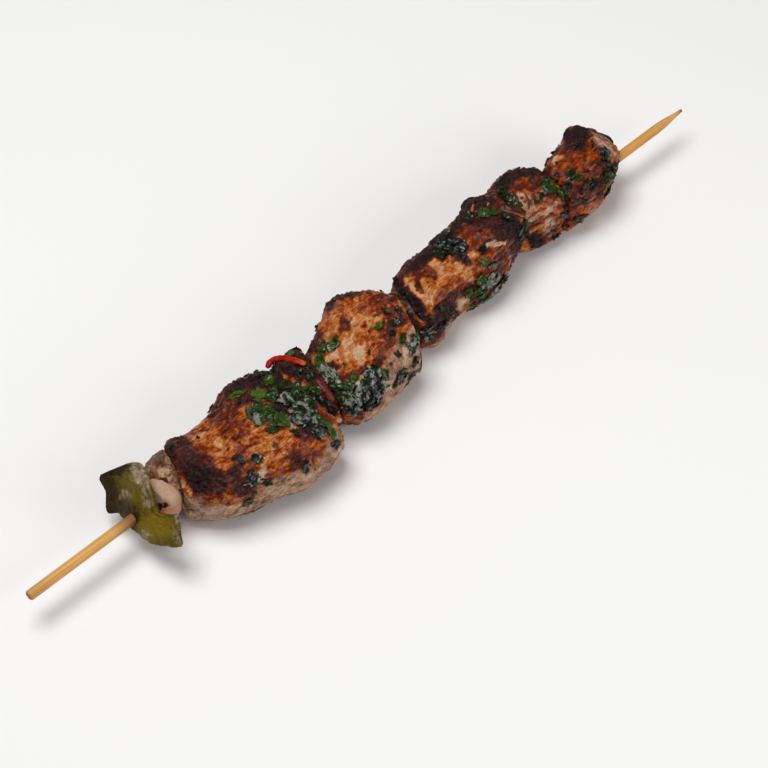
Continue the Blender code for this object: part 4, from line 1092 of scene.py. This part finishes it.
def make_strip(name, strip, material):
    """A flattened, round-ended strip with a wrinkled skin."""
    rings, sides = 60, 20
    centre = through(strip["line"], rings)
    ends = np.sqrt(np.clip(1 - np.linspace(-1, 1, rings) ** 6, 0, 1))
    radii = (strip["width"] / 2) * (0.35 + 0.65 * ends)
    points, faces = tube(centre, radii, sides, strip["thickness"] / strip["width"])
    outward = points - np.repeat(centre, sides, axis=0)
    outward /= np.linalg.norm(outward, axis=1)[:, None]
    wrinkle = 0.16 * noise_at(points, 1.6, 5.0) + 0.09 * noise_at(points, 0.7, 9.0)
    points = points + outward * wrinkle[:, None]
    done = strip["done"] + 0.3 * noise_at(points, 2.0, 21.0)
    edges = np.tile(np.abs(np.cos(2 * math.pi * np.arange(sides) / sides)), rings)
    done -= strip["pale_edges"] * smooth(0.75, 0.95, edges)
    done = np.clip(marked(done, warped_view(points, 4), strip["marks"]), 0, 1)
    add_piece(name + "_look", name, points, faces, material, {"done": done})


def make_strand(name, line, width):
    """A charred thread that bends over a lump."""
    rings, sides = 48, 10
    centre = through(line, rings)
    radii = (width / 2) * (0.75 + 0.5 * np.abs(noise_at(centre, 2.0, 3.0)))
    points, faces = tube(centre, radii, sides, 0.7)
    values = {"tint": np.full(len(points), 0.1), "lift": np.full(len(points), 0.5)}
    add_piece(name + "_strand", name, points, faces, HERBS, values)


def make_stick():
    """The bamboo stick: a blunt sawn end, faint fibre relief and a long shaved point."""
    half = STICK_LENGTH / 2
    sides = 40
    stations = [-half, -half + 0.15, -half + 0.4, -half + 0.8]
    stations += list(np.linspace(-half + 2, half - STICK_POINT_LENGTH, 120))
    stations += list(half - STICK_POINT_LENGTH * (1 - np.linspace(0.04, 1, 26)))
    radii = []
    for x in stations:
        t = max(0.0, 1 - (half - x) / STICK_POINT_LENGTH)
        swell = (1 - t) + 0.35 * math.sin(math.pi * t) * (1 - t)
        radius = min(STICK_RADIUS, STICK_TIP_RADIUS + (STICK_RADIUS - STICK_TIP_RADIUS) * swell)
        blunt = min(1.0, (x + half) / 0.5)
        radii.append(radius - 0.5 * (1 - blunt) ** 2)
    line = [(x, 0.0, STICK_HEIGHT) for x in stations]
    points, faces = tube(line, radii, sides)
    outward = points * [0, 1, 1] - [0, 0, STICK_HEIGHT]
    reach = np.linalg.norm(outward, axis=1)[:, None]
    rough = noise_at(stretched(points, (1, 0, 0), 40.0), 0.5, 4.0)
    cut = smooth(half - STICK_POINT_LENGTH - 2, half - 2, points[:, 0])
    points = points + outward / reach * (-0.03 - 0.03 * rough * (1 + 1.5 * cut))[:, None]
    ragged = noise_at(points, 2.0, 8.0)
    tip = smooth(half - 2.2 + ragged, half - 0.4, points[:, 0])
    butt = smooth(-half + 0.25, -half - 0.05, points[:, 0])
    # Darker near where the stick enters the food, most by the pepper.
    darker_near_food = np.where(points[:, 0] < 0, 0.75, 0.25)
    darker_near_food = darker_near_food * smooth(-98, -90.5, points[:, 0]) * smooth(102, 96, points[:, 0])
    worn = 0.22 * smooth(-half + 9, -half + 2, points[:, 0] + 2 * ragged)
    stain = np.clip(0.75 * tip + 0.6 * butt + darker_near_food + worn, 0, 1)
    add_piece("bamboo_skewer_look", "bamboo_skewer", points, faces, BAMBOO, {"stain": stain})


def pepper_skin_x(across, height):
    """Where the pepper's skin is along the stick: a leaning wall with a bulge, ripples and folds."""
    deep, middle, half, reach = PEPPER_BULGE
    out = deep * (1 - ((height - middle) / half) ** 2)
    high, wide = PEPPER_RIPPLE
    out += high * noise.noise(Vector((across, height, wide)) / wide)
    out *= 1 - (across / reach) ** 2
    for far, fold_y, fold_height, wide_y, wide_height in PEPPER_FOLDS:
        near = ((across - fold_y) / wide_y) ** 2 + ((height - fold_height) / wide_height) ** 2
        out += far * math.exp(-near)
    return PEPPER_X + PEPPER_LEAN * height - out


def make_pepper():
    """The bent band of green pepper, with blistered skin and cut edges."""
    y, low, high = np.array(PEPPER_STATIONS, float).T
    rows, columns = 161, 71
    outer, inner, rims = [], [], []
    for across in np.linspace(y[0], y[-1], rows):
        bottom, top = float(curve_through(across, y, low)), float(curve_through(across, y, high))
        from_end = min(1.0, min(across - y[0], y[-1] - across) / PEPPER_END_LENGTH)
        end_wall = PEPPER_WALL * (PEPPER_END_WALL + (1 - PEPPER_END_WALL) * from_end)
        for t in np.linspace(0, 1, columns):
            height = bottom + (top - bottom) * t
            x = pepper_skin_x(across, height)
            wall = end_wall * (PEPPER_RIM + (1 - PEPPER_RIM) * math.sqrt(4 * t * (1 - t)))
            folds = 0.38 * noise.noise((across / 2.4, height / 1.8, 9.0))
            folds += 0.2 * abs(noise.noise((across / 1.1, height / 0.8, 4.0)))
            outer.append((x - folds, across, STICK_HEIGHT + height + CLEARANCE))
            inner.append((x + wall + 0.4 * folds, across, STICK_HEIGHT + height - CLEARANCE))
            rims.append(t)
    points = np.array(outer + inner)
    view = warped_view(points, 3)
    values = {
        "tone": marked(np.full(len(points), 0.55), view, PEPPER_TONES),
        "blister": marked(np.zeros(len(points)), view, PEPPER_BLISTERS),
        "flesh": np.concatenate([np.zeros(len(outer)), smooth(0.97, 0.85, np.array(rims))]),
    }
    faces = grid_faces(rows, columns)
    add_piece("green_pepper_look", "green_pepper", points, faces, PEPPER, values)


# Stage
def make_stage():
    """A pale floor, a soft white world, soft lights and the photograph's camera."""
    scene = bpy.context.scene
    scene.view_settings.view_transform = "Standard"
    scene.view_settings.look = "None"
    floor_mesh = bpy.data.meshes.new("floor")
    corners = [(FLOOR_REACH * x, FLOOR_REACH * y, 0) for x, y in ((-1, -1), (1, -1), (1, 1), (-1, 1))]
    floor_mesh.from_pydata(corners, [], [(0, 1, 2, 3)])
    n = Nodes("floor")
    n.finish((0.92, 0.915, 0.91, 1.0), 0.7, n.bump(n.noise(40.0, 2.0, 0.5), 0.05, 0.1))
    floor_mesh.materials.append(n.material)
    floor = bpy.data.objects.new("floor", floor_mesh)
    scene.collection.objects.link(floor)
    world = bpy.data.worlds.new("soft_room")
    world.use_nodes = True
    background = world.node_tree.nodes["Background"]
    background.inputs["Color"].default_value = (1.0, 1.0, 1.0, 1.0)
    background.inputs["Strength"].default_value = WORLD_STRENGTH
    scene.world = world
    for name, place, size, watts in LIGHTS:
        light = bpy.data.lights.new(name, "AREA")
        light.size = size
        light.energy = watts
        lamp = bpy.data.objects.new(name, light)
        scene.collection.objects.link(lamp)
        lamp.location = place
        lamp.rotation_euler = (-Vector(place)).to_track_quat("-Z", "Y").to_euler()
    camera = bpy.data.cameras.new("camera")
    camera.sensor_width = 36.0
    camera.lens = CAMERA_LENS
    camera.clip_start = 0.01
    camera.clip_end = 50.0
    eye = bpy.data.objects.new("camera", camera)
    scene.collection.objects.link(eye)
    eye.location = (EYE + [0.0, AXIS_Y, 0.0]) * MM
    eye.rotation_euler = Vector(SIGHT).to_track_quat("-Z", "Y").to_euler()
    scene.camera = eye


def main():
    make_stage()
    make_stick()
    make_pepper()
    looks = {"onion_wedge": (ONION, "onion"), "onion_slice": (YELLOW_ONION, "onion")}
    for name, lump in LUMPS.items():
        slot = "charred_chicken" if name == "chicken_bit" else "chicken"
        material, slot = looks.get(name, (MEAT, slot))
        surface = make_lump(name, lump, material)
        if "leaves" in lump:
            make_herbs(name, lump, surface)
        if "strand" in lump:
            make_strand(name, lump["strand"], STRAND_WIDTH)
    for name, material, slot in (
        ("chilli_strip", CHILLI, "red_chilli"),
        ("red_pepper_strip", RED_PEPPER, "red_pepper"),
        ("onion_curl", BROWN_ONION, "browned_onion"),
        ("onion_sliver", BROWN_ONION, "browned_onion"),
    ):
        make_strip(name, STRIPS[name], material)


main()
